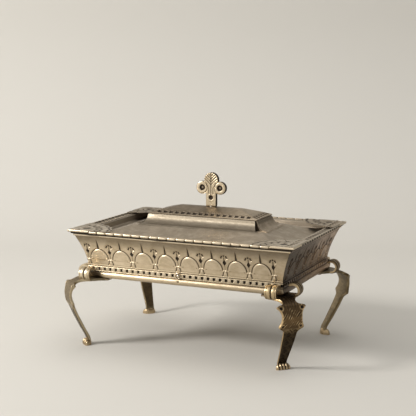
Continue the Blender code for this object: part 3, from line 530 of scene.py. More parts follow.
def rolled_edge(side, centre_out, level):
    """Round bead along the top edge of a wall, a hair proud of it and burnished."""
    turn = np.linspace(0, 2 * math.pi, 24, endpoint=False)[None, :]
    radius = EDGE_ROLL + 0.05 * MM
    share = np.linspace(-1, 1, 300)[:, None]
    out = centre_out + radius * np.cos(turn)
    up = level + radius * np.sin(turn)
    wave = 0.06 * MM * np.sin(share * side_half(side) / (9 * MM))
    # Painted shade: the roll is darker along its underside and on its inner side
    shade = 1.3 * line(turn - 1.25 * math.pi - 0.6, 0.5) + 1.3 * (np.cos(turn) < -0.2) - 0.3 + 0 * share
    points = side_points(side, share * (side_half(side) + out - MITRE), out + wave, up + 0 * share)
    finish = SHADE_BRASS if side == "right" else ROLL_BRASS
    skin(f"rolled_edge_{side}", points, finish, "body", [f"wall_{side}"], shade)


def bands():
    """Band with a row of square punched dots, the pads between them slightly swollen."""
    low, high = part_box("bead_band_front")
    bottom, top = low.z, high.z
    face = np.linspace(bottom, top, 30)
    height = np.concatenate([face, [top, bottom]])
    outward = np.concatenate([np.zeros(30), [-2.5 * MM, -2.5 * MM]])
    on_face = np.concatenate([np.ones(30), [0, 0]])
    middle = (bottom + top) / 2
    for side in SIDES:
        share = np.linspace(-1, 1, 700 if side in ("front", "back") else 480)[:, None]
        along = share * side_half(side)
        shift = BOSS_SHIFT if side in ("front", "back") else 0
        x = (along - shift + DOT_PITCH / 2) % DOT_PITCH - DOT_PITCH / 2
        z = (height - middle)[None, :]
        square = np.maximum(np.abs(x), np.abs(z) * 0.95) - DOT_HALF
        dot = smooth_step(-square, -0.12 * MM, 0.3 * MM)
        pad = line(np.abs(x) - DOT_PITCH / 2, 1.1 * MM) * line(z, 1.0 * MM)
        edge_line = line(np.abs(z) - 1.8 * MM, 0.16 * MM)
        relief = -DOT_DEPTH * dot - 0.18 * MM * edge_line + 0.22 * MM * pad - 0.12 * MM
        shade = dot * 1.6 + edge_line * 0.6 - pad * 0.5
        out = outward[None, :] + relief * on_face
        points = side_points(side, share * (side_half(side) + out - MITRE), out, height[None, :])
        finish = FRONT_BRASS if side in ("front", "left") else SHADE_BRASS
        skin(f"dotted_band_{side}", points, finish, "body", [f"bead_band_{side}"], shade * on_face)


def bars():
    """Round bar under each band. The front one has a small punched mark under the boss."""
    for side in SIDES:
        low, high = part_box(f"base_bar_{side}")
        radius = (high.z - low.z) / 2 + BAR_SWELL
        middle = (high.z + low.z) / 2 - BAR_SWELL / 3
        centre_out = 0.8 * MM - radius
        share = np.linspace(-1, 1, 220)[:, None]
        angle = np.linspace(0, 2 * math.pi, 36, endpoint=False)[None, :]
        along = share * side_half(side)
        wave = 0.05 * MM * np.sin(along / (7.3 * MM)) * np.sin(along / (2.9 * MM) + 1)
        shade = np.full((220, 36), -0.15)
        if side == "front":
            spot = np.hypot(along - BOSS_SHIFT, radius * (angle - 0.15))
            mark = smooth_step(-spot, -1.1 * MM, -0.5 * MM)
            wave = wave - 0.5 * MM * mark
            shade = shade + 1.3 * mark
        out = centre_out + (radius + wave) * np.cos(angle)
        up = middle + (radius + wave) * np.sin(angle)
        points = side_points(side, share * (side_half(side) + out - MITRE), out, up)
        finish = BAR_BRASS if side in ("front", "left") else SHADE_BRASS
        skin(f"round_bar_{side}", points, finish, "body", [f"base_bar_{side}"], shade)


def boss():
    """Turned stud on the front: a collar, a groove and a dome."""
    low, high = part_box("front_boss")
    profile = curve(
        np.array(
            [
                (2.6, 0),
                (2.6, 0.8),
                (2.35, 1.05),
                (2.05, 1.0),
                (1.75, 0.55),
                (1.5, 0.65),
                (1.25, 1.15),
                (0.7, 1.5),
                (0.05, 1.6),
            ]
        )
        * MM,
        60,
    )
    angle = np.linspace(0, 2 * math.pi, 64, endpoint=False)
    radius, out = profile[:, :1], profile[:, 1:]
    centre = (low + high) / 2
    x = centre.x + radius * np.cos(angle)
    z = centre.z + radius * np.sin(angle) * 1.0
    y = np.broadcast_to(high.y - out, x.shape)
    shade = line(radius - 1.7 * MM, 0.25 * MM) * 1.2 - 0.2
    skin("stud_front", np.stack([x, y, z], -1), FRONT_BRASS, "body", ["front_boss"], shade)


def leg_points(corner, along, across, height):
    """World places for a leg: along its diagonal out of the base's corner, across it and up."""
    sx, sy = CORNERS[corner]
    half = math.sqrt(0.5)
    along = along + LEANS[corner] * np.clip(1 - height / LEG_TOP, 0, 1)
    x = sx * (BASE_X + (along - across) * half)
    y = sy * (BASE_Y + (along + across) * half)
    return np.stack(np.broadcast_arrays(x, y, height), -1)


def strap_section():
    """Section of a strap as shares of half its width and half its thickness, outer face first."""
    face = np.linspace(-1, 1, 57)
    outer = np.stack([face, np.ones(57)], -1)
    inner = np.stack([np.linspace(1, -1, 13), -np.ones(13)], -1)
    return outer, inner


def carving(along, across, half):
    """Chased leaf on a leg: round eyes on the ears, uneven slanting strokes, a pitted shank.

    The strokes slant to one side, and slow waves bend them and leave some out, so that no two are alike.
    """
    to_edge = half - np.abs(across)
    border = line(to_edge - 0.5 * MM, 0.5 * MM)
    knee = smooth_step(along, 28 * MM, 32 * MM) * smooth_step(-along, -47 * MM, -43 * MM)
    shank = smooth_step(along, 45 * MM, 48 * MM) * smooth_step(-along, -82 * MM, -78 * MM)
    neck = smooth_step(along, 15 * MM, 18 * MM) * smooth_step(-along, -33 * MM, -28 * MM)
    bend = 1.1 * MM * np.sin(along / (4.1 * MM) + across / (2.9 * MM))
    bend = bend + 0.6 * MM * np.sin(across / (1.7 * MM) - along / (2.3 * MM) + 1.2)
    strokes = 0.5 + 0.5 * np.sin((along * 0.7 - across * 0.95 + 0.45 * bend) / (0.34 * MM))
    patch = 0.5 + 0.5 * np.sin(across / (0.9 * MM) + 1.5 * np.sin(along / (1.3 * MM)))
    slant = along / (1.2 * MM) + across / (2.7 * MM) + 1.6 * np.sin(across / (1.9 * MM))
    patch = patch * (0.5 + 0.5 * np.sin(slant))
    pits = (0.5 + 0.5 * np.sin(along / (0.45 * MM) + 2 * np.sin(across / (0.8 * MM)))) * patch
    veins = line((np.abs(across) + 0.25 * bend) % (2.2 * MM) - 1.1 * MM, 0.42 * MM)
    eye = np.hypot(np.abs(across) - 9.0 * MM, along - 30.4 * MM)
    low_eye = np.hypot(np.abs(across) - 7.6 * MM, along - 44.4 * MM)
    pit = smooth_step(-eye, -1.35 * MM, -0.6 * MM) + 0.6 * smooth_step(-low_eye, -1.1 * MM, -0.4 * MM)
    collar = line(eye - 1.8 * MM, 0.45 * MM) + 0.6 * line(low_eye - 1.6 * MM, 0.4 * MM)
    quiet = 1 - smooth_step(-eye, -2.4 * MM, -1.9 * MM)
    cut = knee * (0.1 + 0.9 * patch) * smooth_step(strokes, 0.45, 0.95) * quiet
    cut = cut + neck * 0.6 * veins + shank * 0.75 * pits**2
    cut = cut * (1 - 0.7 * border)
    ridge = knee * patch * smooth_step(-strokes, -0.4, -0.1) * quiet + 0.8 * shank * (1 - pits) ** 8
    relief = -0.4 * MM * cut + 0.2 * MM * border - 0.7 * MM * pit + 0.25 * MM * collar
    shade = cut * 0.9 + pit * 1.3 - 0.3 * border - 0.5 * collar - 0.35 * ridge + 0.15
    return relief, shade


def leg_strap(corner, finish):
    """The strap bent in an S: a curve in the diagonal plane, with a width of its own at each point."""
    path = curve(np.array(STRAP_MM) * MM, 280)
    run = np.gradient(path[:, :2], axis=0)
    run /= np.linalg.norm(run, axis=1, keepdims=True)
    normal = np.stack([-run[:, 1], run[:, 0]], -1)
    along = np.concatenate([[0], np.cumsum(np.linalg.norm(np.diff(path[:, :2], axis=0), axis=1))])[:, None]
    half = path[:, 2:] / 2
    outer, inner = strap_section()
    section = np.concatenate([outer, inner])
    across = section[None, :, 0] * half
    on_face = np.concatenate([np.ones(57), np.zeros(13)])[None, :]
    relief, shade = carving(along, across, half)
    round_off = smooth_step(half - np.abs(across), 0, 0.5 * MM) * 0.45 + 0.55
    depth = section[None, :, 1] * STRAP_THICKNESS / 2 * round_off + relief * on_face
    reach = path[:, :1] + normal[:, :1] * depth
    height = path[:, 1:2] + normal[:, 1:] * depth
    height = np.where(reach < 0, np.minimum(height, LEG_TOP), np.minimum(height, LEG_TOP + 0.1 * MM))
    height = np.maximum(height, 0.1 * MM)
    points = leg_points(corner, reach, across, height)
    # Painted highlight: the strap's side edges are made bright above the paw
    edge = np.concatenate([np.zeros(56), [1, 1], np.zeros(11), [1]])[None, :]
    shade = shade * on_face - 2.2 * edge * smooth_step(along, 14 * MM, 20 * MM)
    return skin(f"leg_strap_{corner}", points, finish, "body", [f"leg_{corner}"], shade)


def leg_arm(corner, finish, on_long):
    """Strap that comes out under the floor and rolls up against the band, its face turned in two bands."""
    level = LEG_TOP - STRAP_THICKNESS / 2
    middle = SCROLL_RADIUS - SCROLL_STRAP / 2
    centre_out = SCROLL_RADIUS - SCROLL_CLEARANCE
    angle = np.linspace(-math.pi / 2, SCROLL_END, 80)
    straight = np.linspace(-SCROLL_ROOT, centre_out, 18)[:-1]
    out = np.concatenate([straight, centre_out + middle * np.cos(angle)])
    up = np.concatenate([np.full(17, level), level + middle + middle * np.sin(angle)])
    normal_out = np.concatenate([np.zeros(17), np.cos(angle)])
    normal_up = np.concatenate([np.full(17, -1.0), np.sin(angle)])
    outer, inner = strap_section()
    section = np.concatenate([outer, inner])
    on_face = np.concatenate([np.ones(57), np.zeros(13)])[None, :]
    across = section[None, :, 0] * SCROLL_WIDTH / 2
    groove = line(across - 0.3 * MM, 0.5 * MM)
    fillets = line(np.abs(across - 0.3 * MM) - 3.55 * MM, 0.22 * MM)
    swell = 1 - ((np.abs(across - 0.3 * MM) - 2.2 * MM) / (2.4 * MM)) ** 2
    relief = (0.3 * swell - 0.65 * groove - 0.25 * fillets) * MM - 0.15 * MM
    shade = groove * 1.1 + fillets * 0.7 - 0.3 * np.clip(swell, 0, 1)
    edge = np.concatenate([np.zeros(56), [1, 1], np.zeros(11), [1]])[None, :]
    shade = shade * on_face
    # Painted shade and highlight: on the right-hand side loops the face is made darker and the edges bright
    if corner.endswith("right") and not on_long:
        shade = shade + 0.62 * on_face * (1 - edge) - 1.5 * edge
    roll = smooth_step(np.linspace(0, 1, len(out)), 0.06, 0.16)[:, None]
    tip = np.ones(len(out))
    tip[-6:] = np.sqrt(np.clip(1 - np.linspace(0, 0.95, 6) ** 2, 0, 1))
    depth = (section[None, :, 1] * SCROLL_STRAP / 2 + relief * on_face * roll) * tip[:, None]
    reach = out[:, None] + normal_out[:, None] * depth
    height = up[:, None] + normal_up[:, None] * depth
    height = np.minimum(height, np.where(reach < 0.4 * MM, LEG_TOP, 1.0))
    sx, sy = CORNERS[corner]
    start = SCROLL_STARTS[corner][0 if on_long else 1]
    inwards = -start - SCROLL_WIDTH / 2 + across
    if on_long:
        x, y = sx * (BASE_X + inwards), sy * (BASE_Y + reach)
    else:
        x, y = sx * (BASE_X + reach), sy * (BASE_Y + inwards)
    points = np.stack(np.broadcast_arrays(x, y, height), -1)
    name = f"leg_arm_{'long' if on_long else 'short'}_{corner}"
    return skin(name, points, finish, "body", [f"leg_{corner}"], np.broadcast_to(shade, height.shape))


def leg_plate(corner, finish):
    """Plate that joins strap and arms under the floor."""
    sx, sy = CORNERS[corner]
    level = LEG_TOP - STRAP_THICKNESS / 2
    far, near = -19 * MM, -1 * MM
    chamfer = far / 1.5
    outline = np.array([(near, near), (near, far), (chamfer, far), (far, chamfer), (far, near)])
    middle = outline.mean(0)
    rings = []
    for inset, up in ((0.96, -0.9), (1.0, -0.7), (1.0, 0.7), (0.96, 0.9)):
        flat = middle + (outline - middle) * inset
        x, y = sx * (BASE_X + flat[:, 0]), sy * (BASE_Y + flat[:, 1])
        rings.append(np.stack([x, y, np.full(len(x), level + up * MM)], -1))
    return skin(f"leg_plate_{corner}", rings, finish, "body", [f"leg_{corner}"])


def leg_paw(corner, finish):
    """Paw: half ellipses set along the foot, their tops cut by the clefts between five toes."""
    share = (1 - np.cos(np.linspace(0, math.pi, 70)))[:, None] / 2
    turn = np.linspace(0, 2 * math.pi, 96, endpoint=False)[None, :]
    close = np.clip(1 - np.abs(2 * share - 1) ** 4.5, 0, 1) ** 0.5
    close = np.maximum(close, 0.02)
    spread = np.interp(share, (0, 0.25, 0.6, 0.85, 1), (0.62, 0.72, 0.95, 1.0, 0.96))
    side = np.cos(turn)
    across = PAW_WIDTH / 2 * spread * close * np.sign(side) * np.abs(side) ** 0.75
    top = PAW_HEIGHT * np.interp(share, (0, 0.3, 0.65, 1), (0.95, 1.0, 0.86, 0.62)) * close**0.6
    lift = np.clip(np.sin(turn), 0, 1) ** 0.6
    lane = across / (PAW_WIDTH * spread) * TOES
    cleft = line(np.abs((lane + 0.5) % 1 - 0.5) - 0.5, 0.16) * smooth_step(share, 0.28, 0.6)
    cleft = cleft * (np.abs(lane) < TOES / 2 - 0.3)
    knuckle = 0.45 * MM * np.cos(lane * 2 * math.pi) * smooth_step(share, 0.3, 0.6)
    height = top * lift - (1.0 * MM * cleft - 0.3 * knuckle) * lift
    reach = PAW_TOE - PAW_LENGTH * (1 - share) - 0.9 * MM * cleft * smooth_step(share, 0.6, 1)
    points = leg_points(corner, reach, across, np.maximum(height, 0))
    shade = cleft * 1.2 * (lift > 0) - 0.25
    return skin(f"leg_paw_{corner}", points, finish, "body", [f"leg_{corner}"], shade)


def legs():
    for corner, (sx, sy) in CORNERS.items():
        finish = LEG_FINISHES[corner]
        arm_finish = ARM_BRASS if sx < 0 else ARM_SHADE_BRASS
        leg_strap(corner, finish)
        leg_arm(corner, arm_finish, True)
        leg_arm(corner, arm_finish, False)
        leg_plate(corner, FLOOR_BRASS)
        leg_paw(corner, PAW_BRASS)


def edging():
    """Row of long beads along each edge of the lid: a rounded bar pinched in at even gaps."""
    for side in SIDES:
        node = f"lid_edging_{side}"
        low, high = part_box(node)
        long_side = side in ("front", "back")
        half = (high.x - low.x) / 2 if long_side else (high.y - low.y) / 2
        reach = (high.y - low.y) / 2 if long_side else (high.x - low.x) / 2
        level = (low.z + high.z) / 2
        centre_out = (LID_Y - BASE_Y if long_side else LID_X - BASE_X) - reach
        along = np.linspace(-half, half, 760 if long_side else 520)[:, None]
        turn = np.linspace(0, 2 * math.pi, 20, endpoint=False)[None, :]
        shift = BEAD_SHIFT if side == "front" else 0
        pitch = BEAD_PITCH if long_side else END_BEAD_PITCH
        x = (along - shift + pitch / 2) % pitch - pitch / 2
        end = (pitch / 2 - np.abs(x)) / BEAD_GAP
        swell = np.sqrt(np.clip(1 - (1 - np.clip(end, 0, 1)) ** 2, 0, 1))
        fat = 0.35 + 0.65 * swell
        out = centre_out + reach * fat * np.sign(np.cos(turn)) * np.abs(np.cos(turn)) ** 0.8
        up = level + BEAD_HALF * (0.6 + 0.4 * swell) * np.sign(np.sin(turn)) * np.abs(np.sin(turn)) ** 0.8
        # Darker gaps between beads, and painted shade along the beads' undersides
        shade = (1 - swell) * 1.5 - 0.5 * swell + 1.2 * (np.sin(turn) < -0.6)
        if not long_side:
            shade = -0.6 + 3.6 * (np.sin(turn) < 0.45) * smooth_step(-np.abs(x), -0.34 * pitch, -0.26 * pitch)
        points = side_points(side, along, out, up)
        finish = {"front": EDGE_BRASS, "right": PLATE_BRASS}.get(side, REAR_BRASS)
        skin(f"beaded_edge_{side}", points, finish, "lid", [node], shade)


def rim():
    """Flat border of the lid: a mitred strip per side, punched along its outer edge with a row of dashes.

    The faces towards the box are painted dark, a painted shade for the gap under the lid.
    """
    low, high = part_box("lid_rim")
    for side in SIDES:
        long_side = side in ("front", "back")
        past = (LID_Y - BASE_Y) if long_side else (LID_X - BASE_X)
        edge = (high.y - BASE_Y) if long_side else (high.x - BASE_X)
        top = np.linspace(edge, past - RIM_WIDTH, 34)
        outward = np.concatenate([top, [past - RIM_WIDTH, edge]])
        height = np.concatenate([np.full(34, high.z), [low.z, low.z]])
        on_top = np.concatenate([np.ones(34), [0, 0]])
        share = np.linspace(-1, 1, 720 if long_side else 520)[:, None]
        along = share * (side_half(side) + outward[None, :])
        pitch = BEAD_PITCH if long_side else END_BEAD_PITCH
        shift = BEAD_SHIFT if side == "front" else 0
        x = (along - shift) % pitch - pitch / 2
        out = (edge - outward)[None, :]
        row, half_row = (1.15 * MM, 0.45 * MM) if long_side else (3.4 * MM, 1.7 * MM)
        gap = np.maximum(np.abs(x) - pitch * 0.3, np.abs(out - row) - half_row)
        dash = smooth_step(-gap, -0.2 * MM, 0.2 * MM)
        border = line(out - row - half_row - 1.0 * MM, 0.8 * MM)
        inner = line(out - row - half_row - 2.1 * MM, 0.5 * MM)
        up = height[None, :] + (-0.6 * dash + 0.15 * border - 0.2 * inner) * MM * on_top - 0.15 * MM
        strength = {"left": 0.8, "right": 3.0}.get(side, 1.7)
        # Painted shade on the outer edge and the faces towards the box, for the gap under the lid
        shade = (strength * dash - 0.9 * border + 0.5 * inner) * on_top + 1.8 * (1 - on_top)
        shade[:, 0] = 1.6
        points = side_points(side, along, outward[None, :] + 0 * along, up)
        finish = {"front": EDGE_BRASS, "right": LID_BRASS}.get(side, REAR_BRASS)
        skin(f"punched_rim_{side}", points, finish, "lid", ["lid_rim"], shade)


def corner_leaves():
    """Engraved leaf on each corner plate: a fan about the lid's corner with lobed edge and cut veins."""
    for corner, (sx, sy) in CORNERS.items():
        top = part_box(f"corner_plate_{corner}")[1].z
        inset = 0.45 * MM
        theta = np.linspace(math.radians(0.4), math.radians(89.6), 140)[:, None]
        share = np.linspace(0.06, 1, 80)[None, :]
        lobe = np.degrees(theta) / 90 * LEAF_LOBES
        edge = 0.93 + 0.045 * np.abs(np.sin(math.pi * lobe)) ** 0.7
        radius = CORNER_SPAN * edge * share
        across = (lobe % 1 - 0.5) * 2
        between = line((1 - np.abs(across)) * radius, 1.9 * MM) * smooth_step(share, 0.6, 0.75)
        curl = line(np.hypot(radius - 26 * MM, across * 3.2 * MM) - 2.6 * MM, 0.9 * MM)
        strokes = line(across * 3 * MM + 0.7 * MM, 0.9 * MM) * smooth_step(share, 0.34, 0.4)
        strokes = strokes * smooth_step(-share, -0.6, -0.54)
        from_middle = (np.degrees(theta) - 45) / 90 * 26 * MM
        eye = smooth_step(-np.hypot(radius - 16 * MM, from_middle), -3.8 * MM, -2.8 * MM)
        hub = line(radius - 9.5 * MM, 0.9 * MM)
        from_end = radius * np.cos(theta) + inset
        from_side = radius * np.sin(theta) + inset
        pitch = (sy * (LID_Y - from_side)) % END_BEAD_PITCH - END_BEAD_PITCH / 2
        row = LID_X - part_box("lid_rim")[1].x + 3.4 * MM
        gap = np.maximum(np.abs(pitch) - END_BEAD_PITCH * 0.3, np.abs(from_end - row) - 1.7 * MM)
        dash = smooth_step(-gap, -0.2 * MM, 0.2 * MM)
        light = line(from_end - row - 2.7 * MM, 0.9 * MM)
        kept = smooth_step(from_end - row, 3.6 * MM, 4.2 * MM) if sx > 0 else 1
        fringe = line((1 - share) * CORNER_SPAN - 2.2 * MM, 0.95 * MM)
        row_cut = 2.8 * dash - 0.9 * light if sx > 0 else 0
        cut = between + 0.8 * curl + 0.8 * strokes + 1.2 * eye + 0.6 * hub + 0.9 * fringe
        cut = np.clip(cut, 0, 1.3) * kept + row_cut
        rim_edge = smooth_step(1 - share, 0, 0.03)
        up = top + (0.1 - 0.35 * cut) * MM * rim_edge
        shade = cut * 1.1 - 0.1
        x = sx * (LID_X - inset - radius * np.cos(theta))
        y = sy * (LID_Y - inset - radius * np.sin(theta))
        upper = np.stack(np.broadcast_arrays(x, y, up), -1)
        lower = np.stack(np.broadcast_arrays(x, y, np.full_like(up, top - 0.4 * MM)), -1)[:, ::-1]
        points = np.concatenate([upper, lower], 1)
        both = np.concatenate([shade, np.zeros_like(shade)], 1)
        node = f"corner_plate_{corner}"
        finish = PLATE_BRASS if sy < 0 else REAR_BRASS
        skin(f"corner_leaf_{corner}", points, finish, "lid", [node], both)
        for on_long in (True, False):
            corner_lip(node, sx, sy, top, on_long)


def corner_lip(node, sx, sy, top, on_long):
    """Plain rounded edge of a corner plate, where the beads stop short of the lid's corner."""
    length = np.linspace(0.05 * MM, LIP_LENGTH, 40)[:, None]
    turn = np.linspace(0, 2 * math.pi, 24, endpoint=False)[None, :]
    reach = 0.85 * MM
    inwards = reach - reach * np.sign(np.cos(turn)) * np.abs(np.cos(turn)) ** 0.7 + 0 * length
    level = top - 0.1 * MM - BEAD_HALF
    up = level + BEAD_HALF * np.sign(np.sin(turn)) * np.abs(np.sin(turn)) ** 0.7 + 0 * length
    if on_long:
        x, y = sx * (LID_X - length - inwards * (1 - length / LIP_LENGTH)), sy * (LID_Y - inwards)
    else:
        x, y = sx * (LID_X - inwards), sy * (LID_Y - length - inwards * (1 - length / LIP_LENGTH))
    points = np.stack(np.broadcast_arrays(x, y, up), -1)
    # Painted shade along the lip's underside
    shade = -0.5 + 1.4 * (np.sin(turn) < -0.4) + 0 * length
    name = f"{node.replace('plate', 'lip')}_{'long' if on_long else 'short'}"
    skin(name, points, EDGE_BRASS, "lid", [node], shade)


def loop(half_x, half_y, radius, per_long, per_short, per_corner):
    """Rounded rectangle as arrays x, y, with the same number of points whatever its size."""
    radius = min(radius, half_x * 0.98, half_y * 0.98)
    x, y = [], []
    straight = (per_short, per_long, per_short, per_long)
    for i, (cx, cy) in enumerate(((1, -1), (1, 1), (-1, 1), (-1, -1))):
        centre = np.array((cx * (half_x - radius), cy * (half_y - radius)))
        angles = math.radians(-90 + 90 * i) + np.linspace(0, math.pi / 2, per_corner)
        arc_x, arc_y = centre[0] + radius * np.cos(angles), centre[1] + radius * np.sin(angles)
        following = ((1, 1), (-1, 1), (-1, -1), (1, -1))[i]
        next_x = following[0] * (half_x - radius) + radius * math.cos(angles[-1])
        next_y = following[1] * (half_y - radius) + radius * math.sin(angles[-1])
        steps = np.linspace(0, 1, straight[i] + 2)[1:-1]
        x += [arc_x, arc_x[-1] + (next_x - arc_x[-1]) * steps]
        y += [arc_y, arc_y[-1] + (next_y - arc_y[-1]) * steps]
    return np.concatenate(x), np.concatenate(y)


def panel():
    """Dished sheet: rounded rectangles from the stem hole out over the rise and gutter, up and back under."""
    low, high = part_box("lid_panel")
    edge_x, edge_y = high.x, high.y
    crest = high.z
    rim_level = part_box("lid_rim")[1].z - 0.3 * MM
    gutter = low.z + SHEET
    foot_x = -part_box("plinth_strip_left")[0].x
    foot_y = -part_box("plinth_strip_front")[0].y
    inset = DISH_LEAN + SHEET
    share = np.linspace(1, 0, 60)
    slope_x = edge_x - inset - GUTTER_WIDTH
    slope_y = edge_y - inset - GUTTER_WIDTH
    rings = [(2.3 * MM, 2.3 * MM, crest, 2.29 * MM)]
    rings += [(foot_x * s, foot_y * s, crest, 1 * MM) for s in (0.3, 0.6, 0.85)]
    for s in share:
        # The rise eases in from the gutter
        z = gutter + (crest - gutter) * s**PANEL_POWER
        rings.append((slope_x + (foot_x - slope_x) * s, slope_y + (foot_y - slope_y) * s, z, 1.5 * MM))
    for s in np.linspace(0, 1, 8):
        turn = s * math.pi / 2
        rings.append(
            (
                edge_x - inset - 1.4 * MM * (1 - math.sin(turn)),
                edge_y - inset - 1.4 * MM * (1 - math.sin(turn)),
                gutter + 1.4 * MM * (1 - math.cos(turn)),
                2.4 * MM,
            )
        )
    rings += [(edge_x - SHEET, edge_y - SHEET, rim_level - 0.3 * MM, 2.2 * MM)]
    rings += [(edge_x - SHEET + 0.3 * MM, edge_y - SHEET + 0.3 * MM, rim_level, 2.4 * MM)]
    rings += [(edge_x, edge_y, rim_level, 2.6 * MM)]
    rings += [(edge_x - DISH_LEAN, edge_y - DISH_LEAN, gutter - SHEET + 1.2 * MM, 2.6 * MM)]
    rings += [(edge_x - DISH_LEAN - 1.0 * MM, edge_y - DISH_LEAN - 1.0 * MM, gutter - SHEET, 2.6 * MM)]
    for s in np.linspace(0, 1, 24):
        z = gutter - SHEET + (crest - gutter) * s**PANEL_POWER
        rings.append((slope_x + (foot_x - slope_x) * s, slope_y + (foot_y - slope_y) * s, z, 1.5 * MM))
    rings += [(2.3 * MM, 2.3 * MM, crest - SHEET, 2.29 * MM)]
    points, shades = [], []
    for half_x, half_y, z, radius in rings:
        x, y = loop(half_x, half_y, radius, 120, 84, 6)
        dent = 0.1 * MM * np.sin(x / (6.1 * MM) + 2 * np.sin(y / (9 * MM))) * np.sin(y / (5.2 * MM) + 1.3)
        level = z + (dent if z > gutter + 0.4 * MM and z < crest - 0.2 * MM else 0)
        points.append(np.stack(np.broadcast_arrays(x, y, level), -1))
        # Painted light: the upright wall of the dish is made lighter than the rest
        upright = z > gutter + 0.5 * MM and half_x > edge_x - inset - 1.2 * MM
        shades.append(np.full(len(x), -0.6 if upright else 0.05))
    skin("dished_panel", points, PANEL_BRASS, "lid", ["lid_panel"], np.array(shades), 35)


def plinth():
    """Hollow moulding of each plinth strip: a small roll at the top over a deep hollow that runs out thin.

    Its foot runs on a little past the solid's, down onto the panel, and each end is cut at a slant in plan.
    """
    for side in SIDES:
        node = f"plinth_strip_{side}"
        low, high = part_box(node)
        long_side = side in ("front", "back")
        half = (high.x if long_side else high.y) - PLINTH_SPLAY
        spread = max(abs(low.y), abs(high.y)) - BASE_Y if long_side else max(abs(low.x), abs(high.x)) - BASE_X
        face = spread - PLINTH_FLARE
        tall = high.z - low.z - PLINTH_EDGE
        s = np.linspace(0, 1, 56)
        out = PLINTH_FLARE * (1 - s)
        up = low.z + PLINTH_EDGE + tall * s**PLINTH_POWER
        roll = np.exp(-(((up - high.z + 1.2 * MM) / (1.1 * MM)) ** 2))
        out = out + 0.4 * MM * roll
        up = np.concatenate([[low.z - 0.8 * MM], up, [high.z, low.z]])
        out = np.concatenate([[PLINTH_FLARE + 1.6 * MM], out, [-PLINTH_STRIP, -PLINTH_STRIP]])
        roll = np.concatenate([[0], roll, [0, 0]])
        share = np.linspace(-1, 1, 180)[:, None]
        along = share * (half + PLINTH_SPLAY * out[None, :] / PLINTH_FLARE)
        if side == "front":
            along = along + np.minimum(share, 0) * PLINTH_RUN_ON
        dent = 0.07 * MM * np.sin(along / (4.7 * MM)) * np.sin(along / (11 * MM) + up[None, :] / (3 * MM))
        inner = np.arange(len(up)) < len(up) - 3
        # Painted shade dims the lit roll at the top, and a painted highlight brightens the roll at the front
        # strip's left end
        shade = 0.45 * roll[None, :] + 0 * along
        if side == "front":
            shade = shade - 0.7 * roll[None, :] * line(along + half + PLINTH_RUN_ON - 3 * MM, 4 * MM)
        points = side_points(side, along, face + out[None, :] + np.minimum(dent, 0) * inner, up[None, :])
        finish = SHADED_PLINTH_END_BRASS if side == "right" else PLINTH_BRASS
        skin(f"hollow_moulding_{side}", points, finish, "lid", [node], shade)


def roof():
    """Hipped roof plate: rounded lip, a row of square punched holes between two lines, and a plain top."""
    low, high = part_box("roof_plate")
    bottom, ridge = low.z, high.z
    lip_x, lip_y = high.x, high.y
    lip_top = bottom + LIP_THICKNESS
    turn = np.linspace(-math.pi / 2, math.pi / 2, 9)
    soft = LIP_THICKNESS / 2
    rings = [(lip_x - ROOF_WALL, lip_y - ROOF_WALL, bottom, 0)]
    rings += [
        (
            lip_x - soft + soft * math.cos(t),
            lip_y - soft + soft * math.cos(t),
            bottom + soft + soft * math.sin(t),
            0,
        )
        for t in turn
    ]
    fall_x, fall_y = lip_x - soft - RIDGE_LENGTH / 2, lip_y - soft - RIDGE_WIDTH / 2
    for s in np.concatenate([np.linspace(0.01, 0.42, 50), np.linspace(0.44, 1, 14)]):
        swell = 0.25 * MM * math.sin(math.pi * s)
        level = lip_top + (ridge - lip_top) * s + swell
        rings.append((RIDGE_LENGTH / 2 + fall_x * (1 - s), RIDGE_WIDTH / 2 + fall_y * (1 - s), level, 1))
    rings.append((RIDGE_LENGTH / 4, RIDGE_WIDTH / 8, ridge, 0))
    rings.append((RIDGE_LENGTH / 4, RIDGE_WIDTH / 8, ridge - ROOF_SHEET, 0))
    rings.append((RIDGE_LENGTH / 2, RIDGE_WIDTH / 2, ridge - ROOF_SHEET, 0))
    rings.append((lip_x - ROOF_WALL - 0.5 * MM, lip_y - ROOF_WALL - 0.5 * MM, bottom, 0))
    points, shades = [], []
    for half_x, half_y, z, outside in rings:
        x, y = loop(half_x, half_y, 0.5 * MM, 340, 140, 4)
        inset_x, inset_y = lip_x - np.abs(x), lip_y - np.abs(y)
        on_long = inset_y / fall_y < inset_x / fall_x
        along = np.where(on_long, x, y)
        inset = np.where(on_long, inset_y, inset_x)
        reach = np.where(on_long, lip_x - 7 * MM, lip_y - 3.2 * MM)
        across = np.abs((along % DASH_PITCH) - DASH_PITCH / 2)
        hole = np.maximum(across - 1.45 * MM, np.abs(inset - DASH_INSET) - 1.75 * MM)
        dash = smooth_step(-hole, -0.2 * MM, 0.25 * MM) * (np.abs(along) < reach) * outside
        border = line(inset - 5.4 * MM, 0.3 * MM) * outside
        edge = line(inset - 0.9 * MM, 0.5 * MM) * outside
        points.append(np.stack([x, y, z - 0.8 * MM * dash - 0.22 * MM * border], -1))
        shades.append(dash * 1.7 + border * 0.75 - edge * 0.4)
    node = "roof_plate"
    skin("roof_with_punched_border", points, ROOF_BRASS, "lid", [node], np.array(shades), 35)


